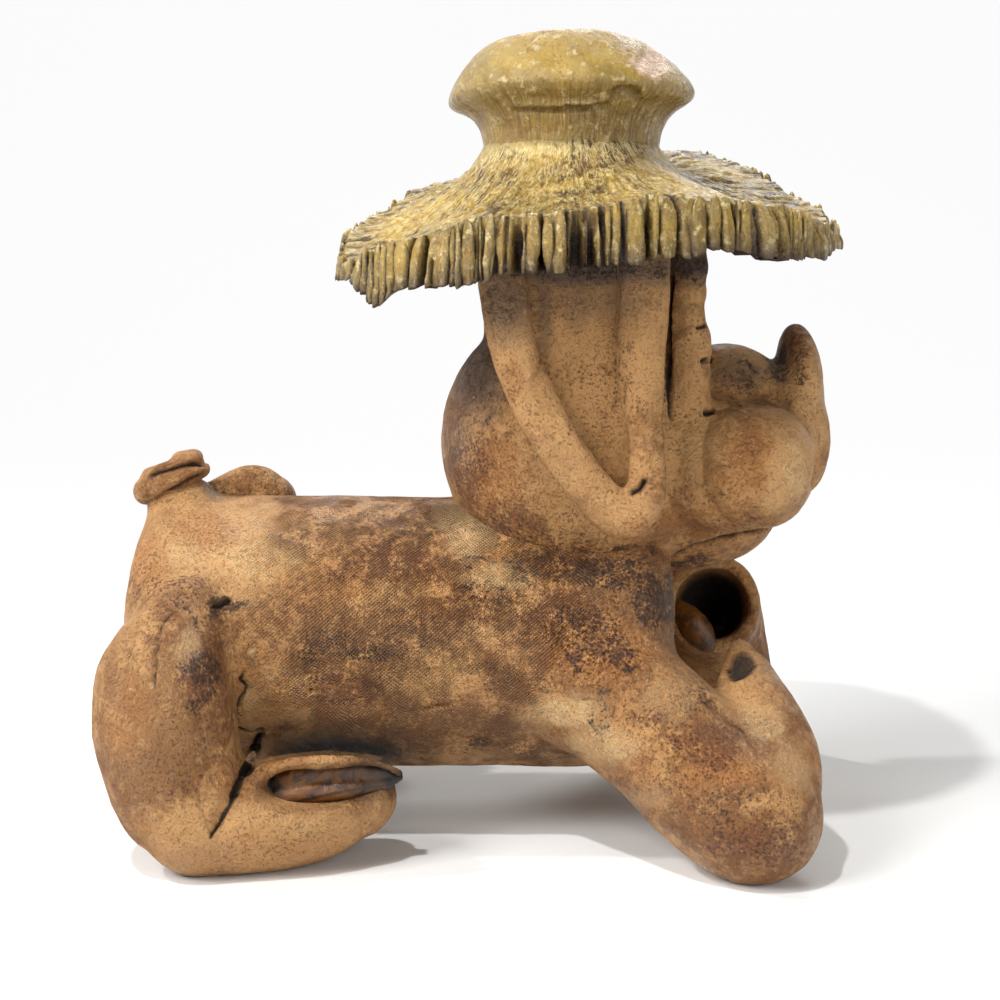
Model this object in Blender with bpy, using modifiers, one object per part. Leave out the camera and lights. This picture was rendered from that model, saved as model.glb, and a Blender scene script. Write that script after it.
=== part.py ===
"""Pottery pig lying down in a fringed straw hat: one hand-built piece of fired stoneware.

The pig faces +X and its near side is -Y. Rolled slabs and thick coils of clay are pressed
together, so every form below is built by itself and all of them are fused into one body.
All sizes are in metres.
"""
import math

import bmesh
import bpy
import numpy as np
from mathutils import Matrix, Vector

# Trunk: a slab rolled into a cylinder that lies along X, its rump face at x = 0.
TRUNK_LENGTH = 0.126
TRUNK_RADIUS = 0.0323
TRUNK_EDGE = 0.011
BELLY_HEIGHT = 0.0134
SOLE_FLAT = 0.0011

# Hind legs: a thigh coil pressed on the rump, and a foot coil lying forward on the ground.
HIND_SPREAD = 0.042
HIND_TOE_SPREAD = 0.035
THIGH_RADIUS = 0.0150
THIGH_HEIGHT = 0.066
HIND_FOOT_RADIUS = 0.0125
HIND_FOOT_LENGTH = 0.041
HEEL_X = 0.023

# Front legs: an upper coil out to an elbow on the ground, and a forearm back to the middle.
FRONT_SPREAD = 0.046
UPPER_ARM_RADIUS = 0.0155
FOREARM_RADIUS = 0.0124
ELBOW_REACH = 0.0158
NEAR_HOOF_HEIGHT = 0.0442
FAR_HOOF_HEIGHT = 0.0505

# Hooves: the far front leg ends in a wide sleeve, the near one is pinched to a tip with a
# small mouth, and each hind foot is split along its outer side round two leaf-shaped toes.
SLEEVE_WALL = 0.0032
SLEEVE_DEPTH = 0.013
TOE_THICKNESS = 0.0048
HIND_SLOT_LENGTH = 0.040
HIND_SLOT_HEIGHT = 0.0092
HIND_SLOT_LIP = 0.0019

# Head: a ball leaning over the chest, a column up into the hat, and the muzzle in front.
HEAD_LENGTH = 0.068
HEAD_WIDTH = 0.064
HEAD_HEIGHT = 0.068
HEAD_SETBACK = 0.020
HEAD_LIFT = 0.0455
BROW_COLUMN_RADIUS = 0.0245
MUZZLE_LENGTH = 0.040
MUZZLE_WIDTH = 0.038
MUZZLE_HEIGHT = 0.047
JOWL_LENGTH = 0.0390
JOWL_WIDTH = 0.024
JOWL_HEIGHT = 0.0305
JOWL_SPREAD = 0.0172
NOSE_THICKNESS = 0.0170
NOSE_WIDTH = 0.030
NOSE_HEIGHT = 0.0330
NOSE_TIP_HEIGHT = 0.0265
JAW_LENGTH = 0.048
JAW_WIDTH = 0.034
JAW_HEIGHT = 0.028
BROW_ROLL_RADIUS = 0.0047

# Ears: long leaves that hang from under the hat, a rolled rim round a sunk face.
EAR_WIDTH = 0.0405
EAR_RIM_RADIUS = 0.0052
EAR_LENGTH = 0.0665
EAR_STAND = 0.0380
EAR_RIM_FLATNESS = 0.62
EAR_FACE_SINK = 0.0014

# Hat: a wavy brim with a thick scored edge, a waisted neck and a swollen crown.
HAT_LIFT = 0.0605
BRIM_RADIUS = 0.0590
BRIM_DROP = 0.0115
BRIM_THICKNESS = 0.0072
BRIM_SHIFT = 0.0040
BRIM_FAR_RISE = 0.0108
HAT_NECK_RADIUS = 0.0210
HAT_NECK_HEIGHT = 0.0098
CROWN_RADIUS = 0.0282
CROWN_HEIGHT = 0.0168
CROWN_LIP_RADIUS = 0.0206
CROWN_DISH = 0.006
CROWN_DROOP = 0.0022
FRINGE_COUNT = 58
FRINGE_DEPTH = 0.0014

# Edge of the brim, going round from the rump past the near side: the angle in degrees, how
# high the crease lies where the top folds over, and how high the ends of the fringe lie,
# both measured from the brim's seat on the head.
BRIM_EDGE = (
    (-180, -0.0147, -0.0197), (-168, -0.0172, -0.0222), (-156, -0.0172, -0.0226),
    (-144, -0.0150, -0.0285), (-132, -0.0132, -0.0245), (-120, -0.0107, -0.0240),
    (-108, -0.0095, -0.0217), (-96, -0.0085, -0.0208), (-84, -0.0067, -0.0196),
    (-72, -0.0056, -0.0182), (-60, -0.0061, -0.0170), (-48, -0.0067, -0.0183),
    (-36, -0.0082, -0.0181), (-24, -0.0096, -0.0153), (-12, -0.0099, -0.0149),
    (0, -0.0077, -0.0144), (12, -0.0041, -0.0126), (24, -0.0002, -0.0088),
    (36, 0.0051, -0.0034), (48, 0.0095, 0.0011), (60, 0.0120, 0.0035), (72, 0.0124, 0.0039),
    (84, 0.0123, 0.0038), (96, 0.0117, 0.0032), (108, 0.0095, 0.0010), (120, 0.0066, -0.0019),
    (132, 0.0029, -0.0056), (144, -0.0013, -0.0099), (156, -0.0057, -0.0142),
    (168, -0.0094, -0.0180))

# Tail: a pinched stub on the rump, two flattened turns of coil, and its thick root behind.
TAIL_TURN_RADIUS = 0.0074
TAIL_COIL_RADIUS = 0.0026
TAIL_STUB_RADIUS = 0.0076
TAIL_RISE = 0.0056
TAIL_TILT = 0.26
TAIL_ROOT_RADIUS = 0.0070

# Fusing: the grid on which the pressed forms become one skin, and the finish of that skin.
FUSE_GRID = 0.0009
SKIN_SMOOTHING = 4
JOINT_ROUNDS = 18
SKIN_TRIANGLES = 11000

CLAY_COLOUR = (0.36, 0.19, 0.09, 1.0)
CLAY_ROUGHNESS = 0.55

NEAR, FAR = -1, 1


def clear_scene():
    for old in list(bpy.data.objects):
        bpy.data.objects.remove(old, do_unlink=True)


def new_collection(name):
    collection = bpy.data.collections.new(name)
    bpy.context.scene.collection.children.link(collection)
    return collection


def place(obj, collection):
    """Keep an object in one collection only."""
    for home in list(obj.users_collection):
        home.objects.unlink(obj)
    collection.objects.link(obj)
    return obj


def apply_modifiers(obj):
    """Replace the mesh with what its modifiers make, and drop them."""
    depsgraph = bpy.context.evaluated_depsgraph_get()
    mesh = bpy.data.meshes.new_from_object(obj.evaluated_get(depsgraph))
    obj.modifiers.clear()
    obj.data = mesh
    return obj


def lump(name, centre, size, collection, tilt=0.0, yaw=0.0):
    """An egg of clay: size is its full extent along X, Y and Z, tilt turns it about Y."""
    bpy.ops.mesh.primitive_uv_sphere_add(segments=40, ring_count=24, radius=0.5)
    obj = bpy.context.object
    obj.name = name
    turn = Matrix.Rotation(yaw, 4, 'Z') @ Matrix.Rotation(tilt, 4, 'Y')
    obj.data.transform(Matrix.Translation(centre) @ turn @ Matrix.Diagonal((*size, 1.0)))
    return place(obj, collection)


def smooth_path(stations, steps=6):
    """Points and radii along a smooth curve through the stations (x, y, z, radius)."""
    path = [Vector(s) for s in stations]
    path = [2 * path[0] - path[1]] + path + [2 * path[-1] - path[-2]]
    points = []
    for i in range(1, len(path) - 2):
        before, start, end, after = path[i - 1:i + 3]
        for k in range(steps):
            t = k / steps
            points.append(0.5 * (2 * start + (end - before) * t
                                 + (2 * before - 5 * start + 4 * end - after) * t * t
                                 + (3 * start - before - 3 * end + after) * t ** 3))
    return points + [path[-2]]


def round_off(points, at_end):
    """Add the stations of a rounded end beyond the last or the first point."""
    tip, inner = (points[-1], points[-2]) if at_end else (points[0], points[1])
    direction = (tip.xyz - inner.xyz).normalized()
    cap = []
    for angle in (20, 40, 58, 74, 84):
        reach = tip.w * math.sin(math.radians(angle))
        centre = tip.xyz + direction * reach
        cap.append(Vector((*centre, tip.w * math.cos(math.radians(angle)))))
    return points + cap if at_end else cap[::-1] + points


def coil(name, stations, collection, ends=(True, True)):
    """A coil of clay through the stations, with rounded or flat ends."""
    points = smooth_path(stations)
    if ends[0]:
        points = round_off(points, False)
    if ends[1]:
        points = round_off(points, True)
    curve = bpy.data.curves.new(name, 'CURVE')
    curve.dimensions = '3D'
    curve.bevel_depth = 1.0
    curve.bevel_resolution = 5
    curve.use_fill_caps = True
    spline = curve.splines.new('POLY')
    spline.points.add(len(points) - 1)
    for station, point in zip(spline.points, points):
        station.co = (*point.xyz, 1.0)
        station.radius = point.w
    guide = bpy.data.objects.new(name + '_guide', curve)
    collection.objects.link(guide)
    depsgraph = bpy.context.evaluated_depsgraph_get()
    mesh = bpy.data.meshes.new_from_object(guide.evaluated_get(depsgraph))
    bpy.data.objects.remove(guide, do_unlink=True)
    bm = bmesh.new()
    bm.from_mesh(mesh)
    bmesh.ops.remove_doubles(bm, verts=bm.verts, dist=0.00001)
    bmesh.ops.recalc_face_normals(bm, faces=bm.faces)
    bm.to_mesh(mesh)
    bm.free()
    obj = bpy.data.objects.new(name, mesh)
    collection.objects.link(obj)
    return obj


def turned(name, profile, centre, collection, segments=144):
    """Turn a profile of (radius, height) from its outer top down round a vertical axis."""
    mesh = bpy.data.meshes.new(name)
    obj = bpy.data.objects.new(name, mesh)
    collection.objects.link(obj)
    bm = bmesh.new()
    verts = [bm.verts.new((radius, 0.0, height)) for radius, height in profile]
    for first, second in zip(verts, verts[1:]):
        bm.edges.new((first, second))
    bm.to_mesh(mesh)
    bm.free()
    screw = obj.modifiers.new('turn', 'SCREW')
    screw.steps = segments
    screw.render_steps = segments
    screw.use_merge_vertices = True
    screw.merge_threshold = 0.00001
    apply_modifiers(obj)
    obj.data.transform(Matrix.Translation(centre))
    return obj


def cut(target, cutter):
    """Take the cutter's shape out of the target."""
    cutter.hide_render = True
    cutter.display_type = 'WIRE'
    cutting = target.modifiers.new('cut', 'BOOLEAN')
    cutting.operation = 'DIFFERENCE'
    cutting.solver = 'EXACT'
    cutting.object = cutter
    return apply_modifiers(target)


def build_trunk(clay):
    bpy.ops.mesh.primitive_cylinder_add(vertices=96, radius=TRUNK_RADIUS, depth=TRUNK_LENGTH)
    trunk = bpy.context.object
    trunk.name = 'trunk'
    trunk.data.transform(Matrix.Translation((TRUNK_LENGTH / 2, 0, BELLY_HEIGHT + TRUNK_RADIUS))
                         @ Matrix.Rotation(math.pi / 2, 4, 'Y'))
    place(trunk, clay)
    edge = trunk.modifiers.new('rounded ends', 'BEVEL')
    edge.width = TRUNK_EDGE
    edge.segments = 5
    edge.limit_method = 'ANGLE'
    edge.angle_limit = math.radians(60)
    return apply_modifiers(trunk)


def build_hind_leg(side, clay, cutters):
    spread = side * HIND_SPREAD
    top = THIGH_HEIGHT
    thigh = [(THIGH_RADIUS + 0.001, side * TRUNK_RADIUS * 0.86, top - 0.010, THIGH_RADIUS * 0.56),
             (THIGH_RADIUS - 0.0036, spread * 0.88, top * 0.60, THIGH_RADIUS),
             (THIGH_RADIUS - 0.0005, spread * 0.95, THIGH_RADIUS + 0.006, THIGH_RADIUS * 1.02),
             (HEEL_X - 0.003, spread, THIGH_RADIUS * 0.93 - SOLE_FLAT, THIGH_RADIUS * 0.93)]
    coil('thigh', thigh, clay)
    low = HIND_FOOT_RADIUS - SOLE_FLAT
    inward = math.atan2(HIND_TOE_SPREAD - HIND_SPREAD, HIND_FOOT_LENGTH - HIND_FOOT_RADIUS)
    toe_y = side * HIND_TOE_SPREAD
    toe_x = HEEL_X + HIND_FOOT_LENGTH - HIND_FOOT_RADIUS * 0.85
    foot = [(HEEL_X, spread, low, HIND_FOOT_RADIUS),
            (HEEL_X + HIND_FOOT_LENGTH * 0.30, (spread * 2 + toe_y) / 3, low + 0.0005,
             HIND_FOOT_RADIUS),
            (HEEL_X + HIND_FOOT_LENGTH * 0.55, (spread + 2 * toe_y) / 3, low + 0.0016,
             HIND_FOOT_RADIUS * 0.93),
            (toe_x, toe_y, low + 0.0032, HIND_FOOT_RADIUS * 0.74)]
    foot = coil('hind_foot', foot, clay)
    slot_x = HEEL_X + HIND_FOOT_LENGTH - HIND_SLOT_LENGTH / 2 + 0.0060
    slot_z = HIND_FOOT_RADIUS * 1.50
    roof = slot_z + HIND_SLOT_HEIGHT / 2
    coil('hind_slot_lip', [
        (slot_x - 0.0165, toe_y + side * 0.0068, roof - 0.0026, HIND_SLOT_LIP * 1.5),
        (slot_x - 0.0090, toe_y + side * 0.0078, roof, HIND_SLOT_LIP * 1.3),
        (slot_x + 0.0005, toe_y + side * 0.0070, roof + 0.0008, HIND_SLOT_LIP * 1.2),
        (slot_x + 0.0090, toe_y + side * 0.0050, roof - 0.0004, HIND_SLOT_LIP * 1.1),
        (slot_x + 0.0122, toe_y + side * 0.0034, roof - 0.0024, HIND_SLOT_LIP * 1.3)], clay)
    slot = lump('hind_slot', (slot_x, toe_y + side * HIND_FOOT_RADIUS * 1.05, slot_z),
                (HIND_SLOT_LENGTH, HIND_FOOT_RADIUS * 1.8, HIND_SLOT_HEIGHT), cutters,
                tilt=math.radians(-4), yaw=side * inward)
    cut(foot, slot)
    lump('hind_toe_upper', (slot_x + 0.0010, toe_y + side * 0.0030, slot_z + 0.0010),
         (HIND_SLOT_LENGTH * 0.80, TOE_THICKNESS * 1.5, TOE_THICKNESS * 0.65), clay,
         tilt=math.radians(-4), yaw=side * inward)
    lump('hind_toe_lower', (slot_x + 0.0010, toe_y + side * 0.0042, slot_z - 0.0018),
         (HIND_SLOT_LENGTH * 0.82, TOE_THICKNESS * 1.3, TOE_THICKNESS * 0.60), clay,
         tilt=math.radians(-5), yaw=side * inward)


def build_front_leg(side, clay, cutters):
    chest = TRUNK_LENGTH
    spread = side * FRONT_SPREAD
    elbow = Vector((chest + ELBOW_REACH, spread, UPPER_ARM_RADIUS - SOLE_FLAT))
    upper = [(chest - 0.0228, side * TRUNK_RADIUS * 0.49, elbow.z + 0.0275, UPPER_ARM_RADIUS * 1.13),
             (chest - 0.006, spread * 0.70, elbow.z + 0.0156, UPPER_ARM_RADIUS * 1.02),
             (chest + ELBOW_REACH * 0.47, spread * 0.92, elbow.z + 0.004, UPPER_ARM_RADIUS),
             (elbow.x - 0.0008, spread, elbow.z - 0.0004, UPPER_ARM_RADIUS * 0.97)]
    coil('upper_arm', upper, clay)
    if side == NEAR:
        tip = NEAR_HOOF_HEIGHT
        fore = [(elbow.x + 0.001, spread * 0.93, elbow.z + 0.003, UPPER_ARM_RADIUS * 0.86),
                (elbow.x + 0.0030, spread * 0.76, elbow.z * 0.65 + tip * 0.32,
                 FOREARM_RADIUS * 0.98),
                (elbow.x + 0.0016, spread * 0.56, elbow.z * 0.35 + tip * 0.63,
                 FOREARM_RADIUS * 0.74),
                (elbow.x + 0.0008, spread * 0.42, elbow.z * 0.14 + tip * 0.86,
                 FOREARM_RADIUS * 0.48),
                (elbow.x + 0.0002, spread * 0.36, tip, FOREARM_RADIUS * 0.23)]
        forearm = coil('forearm', fore, clay)
        mouth = lump('hoof_mouth', (elbow.x - 0.0020, spread * 0.555, tip - 0.0040),
                     (0.0125, 0.0165, 0.0082), cutters, tilt=math.radians(-48), yaw=0.35)
        cut(forearm, mouth)
        return
    top = FAR_HOOF_HEIGHT
    fore = [(elbow.x + 0.001, spread * 0.93, elbow.z + 0.003, UPPER_ARM_RADIUS * 0.86),
            (elbow.x + 0.003, spread * 0.74, elbow.z * 0.69 + top * 0.31, FOREARM_RADIUS * 1.03),
            (elbow.x + 0.0005, spread * 0.58, elbow.z * 0.29 + top * 0.71, FOREARM_RADIUS * 0.98),
            (elbow.x - 0.0032, spread * 0.32, top - 0.0015, FOREARM_RADIUS * 1.03),
            (elbow.x - 0.0036, spread * 0.20, top, FOREARM_RADIUS * 0.98)]
    forearm = coil('forearm', fore, clay, ends=(True, False))
    bore = FOREARM_RADIUS - SLEEVE_WALL
    hollow = coil('sleeve_hollow', [
        (elbow.x - 0.0016, spread * 0.32 + SLEEVE_DEPTH * 0.6, top - 0.0060, bore * 0.65),
        (elbow.x - 0.0030, spread * 0.34, top - 0.0015, bore),
        (elbow.x - 0.0036, spread * 0.10, top + 0.0001, bore * 1.02)], cutters,
        ends=(True, False))
    cut(forearm, hollow)
    lump('front_toe', (elbow.x - 0.0075, spread * 0.19, top - 0.0055),
         (TOE_THICKNESS * 1.8, TOE_THICKNESS * 1.3, TOE_THICKNESS * 2.6), clay,
         tilt=math.radians(-32))


def head_centre():
    return Vector((TRUNK_LENGTH - HEAD_SETBACK, 0, BELLY_HEIGHT + TRUNK_RADIUS + HEAD_LIFT))


def hat_seat():
    """Height of the brim's underside on the head."""
    return head_centre().z + HAT_LIFT


def build_head(clay):
    centre = head_centre()
    lump('head', centre, (HEAD_LENGTH, HEAD_WIDTH, HEAD_HEIGHT), clay)
    column = Vector((centre.x + 0.001, 0, centre.z))
    coil('brow_column', [(*column, BROW_COLUMN_RADIUS),
                         (column.x, 0, hat_seat() - BRIM_THICKNESS, BROW_COLUMN_RADIUS),
                         (column.x, 0, hat_seat(), BROW_COLUMN_RADIUS)],
         clay, ends=(True, False))
    face = centre.x + HEAD_LENGTH / 2
    muzzle_x = face + MUZZLE_LENGTH * 0.08
    lump('muzzle', (muzzle_x - 0.004, 0, centre.z),
         (MUZZLE_LENGTH, MUZZLE_WIDTH, MUZZLE_HEIGHT), clay)
    for side in (NEAR, FAR):
        lump('cheek', (face - 0.0010, side * JOWL_SPREAD, centre.z - 0.0035),
             (JOWL_LENGTH, JOWL_WIDTH, JOWL_HEIGHT), clay)
        lump('jowl', (face + JOWL_LENGTH * 0.16, side * (JOWL_SPREAD + 0.0004), centre.z - 0.0040),
             (JOWL_LENGTH * 0.64, JOWL_WIDTH, JOWL_HEIGHT * 0.95), clay)
        brow = (centre.x + BROW_COLUMN_RADIUS - BROW_ROLL_RADIUS * 0.55)
        coil('brow_roll', [(brow, side * 0.0165, hat_seat(), BROW_ROLL_RADIUS),
                           (brow, side * 0.0175, centre.z + 0.022, BROW_ROLL_RADIUS * 1.08),
                           (brow + 0.0005, side * 0.0190, centre.z + 0.006, BROW_ROLL_RADIUS)],
             clay, ends=(False, True))
    lump('nose', (face + 0.0155, 0, centre.z + 0.0040),
         (NOSE_THICKNESS, NOSE_WIDTH, NOSE_HEIGHT), clay, tilt=math.radians(-9))
    lump('nose_tip', (face + 0.0172, 0, centre.z + 0.0150),
         (NOSE_THICKNESS * 0.62, NOSE_WIDTH * 0.78, NOSE_TIP_HEIGHT), clay,
         tilt=math.radians(-6))
    lump('jaw', (face - JAW_LENGTH * 0.25, 0, centre.z - HEAD_HEIGHT / 2 + JAW_HEIGHT * 0.62),
         (JAW_LENGTH, JAW_WIDTH, JAW_HEIGHT), clay)


def build_ear(side, clay):
    centre = head_centre()
    top = hat_seat() - BRIM_DROP
    low = top - EAR_LENGTH + EAR_RIM_RADIUS
    top += (side - NEAR) / 2 * BRIM_FAR_RISE
    back = centre.x + 0.0160 - EAR_WIDTH + EAR_RIM_RADIUS
    front = centre.x + 0.0160 - EAR_RIM_RADIUS
    out = EAR_STAND
    rim = [(back, 0.00, -0.002, 1.0), (back - 0.0002, 0.22, 0.0, 1.0),
           (back + 0.0032, 0.47, 0.0012, 0.96), (back + 0.0105, 0.71, 0.0020, 0.94),
           (back + 0.0195, 0.92, 0.0020, 0.98), (front - 0.0042, 1.00, 0.0020, 1.04),
           (front + 0.0004, 0.93, 0.0018, 0.88), (front + 0.0008, 0.74, 0.0012, 0.74),
           (front - 0.0004, 0.50, 0.0006, 0.98), (front + 0.0002, 0.22, 0.0, 1.06),
           (front, 0.00, -0.002, 1.1)]
    stations = [(x, side * (out + swell), top + (low - top) * share, EAR_RIM_RADIUS * girth)
                for x, share, swell, girth in rim]
    band = coil('ear_rim', stations, clay, ends=(False, False))
    proud = out + EAR_RIM_RADIUS * 0.35
    for vertex in band.data.vertices:
        if abs(vertex.co.y) > proud:
            vertex.co.y = side * (proud + (abs(vertex.co.y) - proud) * EAR_RIM_FLATNESS)
    outline = bpy.data.curves.new('ear_face', 'CURVE')
    outline.dimensions = '2D'
    outline.fill_mode = 'BOTH'
    depth = out - EAR_FACE_SINK - HEAD_WIDTH / 2 + 0.014
    outline.extrude = depth / 2
    spline = outline.splines.new('POLY')
    spline.points.add(len(stations) - 1)
    for point, station in zip(spline.points, stations):
        point.co = (station[0], station[2], 0.0, 1.0)
    spline.use_cyclic_u = True
    guide = bpy.data.objects.new('ear_guide', outline)
    clay.objects.link(guide)
    depsgraph = bpy.context.evaluated_depsgraph_get()
    mesh = bpy.data.meshes.new_from_object(guide.evaluated_get(depsgraph))
    bpy.data.objects.remove(guide, do_unlink=True)
    mesh.transform(Matrix.Translation((0, side * (out - EAR_FACE_SINK - depth / 2), 0))
                   @ Matrix.Rotation(math.pi / 2, 4, 'X'))
    bm = bmesh.new()
    bm.from_mesh(mesh)
    bmesh.ops.remove_doubles(bm, verts=bm.verts, dist=0.00001)
    bmesh.ops.recalc_face_normals(bm, faces=bm.faces)
    bm.to_mesh(mesh)
    bm.free()
    face = bpy.data.objects.new('ear_face', mesh)
    clay.objects.link(face)


def brim_edge(angle):
    """Heights of the crease and of the fringe's ends at an angle, along a smooth curve."""
    count = len(BRIM_EDGE)
    spot = (math.degrees(angle) + 180) % 360 / 360 * count
    first = int(spot)
    t = spot - first
    heights = []
    for column in (1, 2):
        before, start, end, after = (BRIM_EDGE[(first + n) % count][column] for n in (-1, 0, 1, 2))
        heights.append(0.5 * (2 * start + (end - before) * t
                              + (2 * before - 5 * start + 4 * end - after) * t * t
                              + (3 * start - before - 3 * end + after) * t ** 3))
    return heights


def build_hat(clay):
    centre = head_centre()
    seat = hat_seat()
    root = seat + BRIM_THICKNESS
    neck = HAT_NECK_RADIUS
    axis = Vector((centre.x - 0.0035, 0, 0))
    segments = FRINGE_COUNT * 6
    crease_radius = BRIM_RADIUS * 0.955
    bm = bmesh.new()
    rings = []
    for k in range(segments):
        angle = 2 * math.pi * k / segments
        crease, ends = (seat + height for height in brim_edge(angle))
        groove = 1 - abs(math.sin(angle * FRINGE_COUNT / 2)) ** 0.5
        section = [(0.004, root - 0.002)]
        for j in range(9):
            t = j / 8
            flare = 0.0032 * max(0.0, 1 - t / 0.22) ** 2
            section.append((neck - 0.0008 + (crease_radius - neck + 0.0008) * t,
                            crease + (root - 0.0012 - crease) * (1 - t) ** 1.75 + flare))
        for j in range(1, 5):
            t = j / 4
            swell = crease_radius + (BRIM_RADIUS - crease_radius) * math.sin(t * math.pi / 2) ** 0.7
            section.append((swell - FRINGE_DEPTH * groove, crease + (ends - crease) * t))
        for j in range(1, 7):
            t = j / 6
            radius = BRIM_RADIUS - 0.0012 + (neck + 0.003 - BRIM_RADIUS + 0.0012) * t
            share = max(0.0, 1 - (radius - neck) / (crease_radius - neck))
            above = crease + (root - crease) * share ** 1.75
            low = ends + 0.0010
            section.append((radius, min(low + (seat - low) * t ** 1.3, above - 0.0040)))
        section.append((0.004, seat))
        ring = []
        for radius, height in section:
            share = min(1.0, max(0.0, (radius - neck) / (BRIM_RADIUS - neck)))
            ring.append(bm.verts.new((axis.x + BRIM_SHIFT * share + radius * math.cos(angle),
                                      radius * math.sin(angle), height)))
        rings.append(ring)
    for first, second in zip(rings, rings[1:] + rings[:1]):
        for j in range(len(first) - 1):
            bm.faces.new((first[j], second[j], second[j + 1], first[j + 1]))
    bm.faces.new([ring[0] for ring in rings])
    bm.faces.new([ring[-1] for ring in rings][::-1])
    bmesh.ops.recalc_face_normals(bm, faces=bm.faces)
    mesh = bpy.data.meshes.new('brim')
    bm.to_mesh(mesh)
    bm.free()
    clay.objects.link(bpy.data.objects.new('brim', mesh))
    crown_low = root + HAT_NECK_HEIGHT
    swell = CROWN_RADIUS
    lip = crown_low + CROWN_HEIGHT
    profile = [(0, lip - CROWN_DISH), (CROWN_LIP_RADIUS * 0.60, lip - CROWN_DISH * 0.7),
               (CROWN_LIP_RADIUS * 0.82, lip - 0.001), (CROWN_LIP_RADIUS, lip),
               (CROWN_LIP_RADIUS * 0.45 + swell * 0.55, lip - CROWN_HEIGHT * 0.20),
               (swell * 0.97, lip - CROWN_HEIGHT * 0.45), (swell, crown_low + CROWN_HEIGHT * 0.26),
               (swell * 0.97, crown_low + CROWN_HEIGHT * 0.13),
               (swell * 0.88, crown_low), (neck + 0.0012, crown_low - 0.0032),
               (neck, crown_low - 0.0065), (neck, root), (neck + 0.004, root - 0.004),
               (0, root - 0.005)]
    crown = turned('crown', profile, axis, clay, segments=96)
    for vertex in crown.data.vertices:
        offset = vertex.co.xyz - axis
        angle = math.atan2(offset.y, offset.x)
        share = max(0.0, (vertex.co.z - crown_low) / CROWN_HEIGHT)
        vertex.co.z -= share * CROWN_DROOP * math.cos(angle) ** 2
        vertex.co.x += 0.0006 * share * math.sin(3 * angle)


def build_tail(clay):
    back = BELLY_HEIGHT + 2 * TRUNK_RADIUS
    x = TAIL_TURN_RADIUS + 0.0010
    coil('tail_stub', [(x + 0.0041, 0, back - 0.0090, TAIL_STUB_RADIUS * 1.7),
                       (x + 0.0014, 0, back - 0.0035, TAIL_STUB_RADIUS * 1.2),
                       (x + 0.0004, 0, back - 0.0005, TAIL_STUB_RADIUS)], clay,
         ends=(False, True))
    lump('tail_stub_lip', (x + 0.0046, 0, back + 0.0005),
         (TAIL_STUB_RADIUS * 1.2, TAIL_STUB_RADIUS * 1.7, TAIL_STUB_RADIUS * 1.1), clay,
         tilt=math.radians(-24))
    turns = []
    for step in range(23):
        angle = math.radians(100 + step * 32)
        done = step / 22
        ring = TAIL_TURN_RADIUS * (1 - 0.40 * done)
        turns.append((x + ring * math.cos(angle), ring * 0.85 * math.sin(angle),
                      back + 0.0028 + TAIL_RISE * done
                      + (TAIL_TILT + 0.16 * done) * ring * math.cos(angle),
                      TAIL_COIL_RADIUS * (1 - 0.23 * math.cos(angle) - 0.08 * done)))
    coil('tail_curl', turns, clay)
    lump('tail_core', (x, 0, back + 0.0035), (0.0125, 0.0110, 0.0060), clay,
         tilt=math.radians(-15))
    lump('tail_core_top', (x + 0.001, 0, back + 0.0078), (0.0075, 0.0070, 0.0050), clay,
         tilt=math.radians(-20))
    coil('tail_root', [(x + 0.006, 0.006, back - 0.0025, TAIL_ROOT_RADIUS * 0.71),
                       (x + 0.0165, 0.010, back - 0.0002, TAIL_ROOT_RADIUS),
                       (x + 0.0210, 0.011, back - 0.0018, TAIL_ROOT_RADIUS * 0.91)], clay)


def work_in_joints(body):
    """Press clay into the joints: hollows fill out while the rounded forms stay as they are."""
    mesh = body.data
    size = len(mesh.vertices)
    ends = np.zeros(len(mesh.edges) * 2, int)
    mesh.edges.foreach_get('vertices', ends)
    first, second = ends.reshape(-1, 2).T
    count = np.maximum(np.bincount(first, minlength=size) + np.bincount(second, minlength=size), 1)
    points = np.zeros(size * 3)
    normals = np.zeros(size * 3)
    for done in range(JOINT_ROUNDS):
        if done % 6 == 0:
            mesh.vertices.foreach_get('co', points)
            mesh.vertices.foreach_get('normal', normals)
        grid = points.reshape(-1, 3)
        step = np.stack([np.bincount(first, grid[second, k], size)
                         + np.bincount(second, grid[first, k], size)
                         for k in range(3)], 1) / count[:, None] - grid
        hollow = np.einsum('ij,ij->i', step, normals.reshape(-1, 3)) > 0
        grid += 0.5 * step * np.where(hollow, 1.0, 0.04)[:, None]
        if done % 6 == 5 or done == JOINT_ROUNDS - 1:
            mesh.vertices.foreach_set('co', points)
            mesh.update()
    return body


def fuse(clay, collection, name):
    """Press the forms together into one skin, smooth it and keep its triangles few."""
    forms = list(clay.objects)
    bm = bmesh.new()
    for form in forms:
        bm.from_mesh(form.data)
        bpy.data.objects.remove(form, do_unlink=True)
    mesh = bpy.data.meshes.new(name)
    bm.to_mesh(mesh)
    bm.free()
    body = bpy.data.objects.new(name, mesh)
    collection.objects.link(body)
    press = body.modifiers.new('pressed together', 'REMESH')
    press.mode = 'VOXEL'
    press.voxel_size = FUSE_GRID
    apply_modifiers(body)
    rub = body.modifiers.new('rubbed smooth', 'SMOOTH')
    rub.factor = 0.5
    rub.iterations = SKIN_SMOOTHING
    apply_modifiers(body)
    work_in_joints(body)
    thin = body.modifiers.new('facets', 'DECIMATE')
    thin.ratio = SKIN_TRIANGLES / sum(len(p.vertices) - 2 for p in body.data.polygons)
    thin.use_collapse_triangulate = True
    return apply_modifiers(body)


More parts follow.
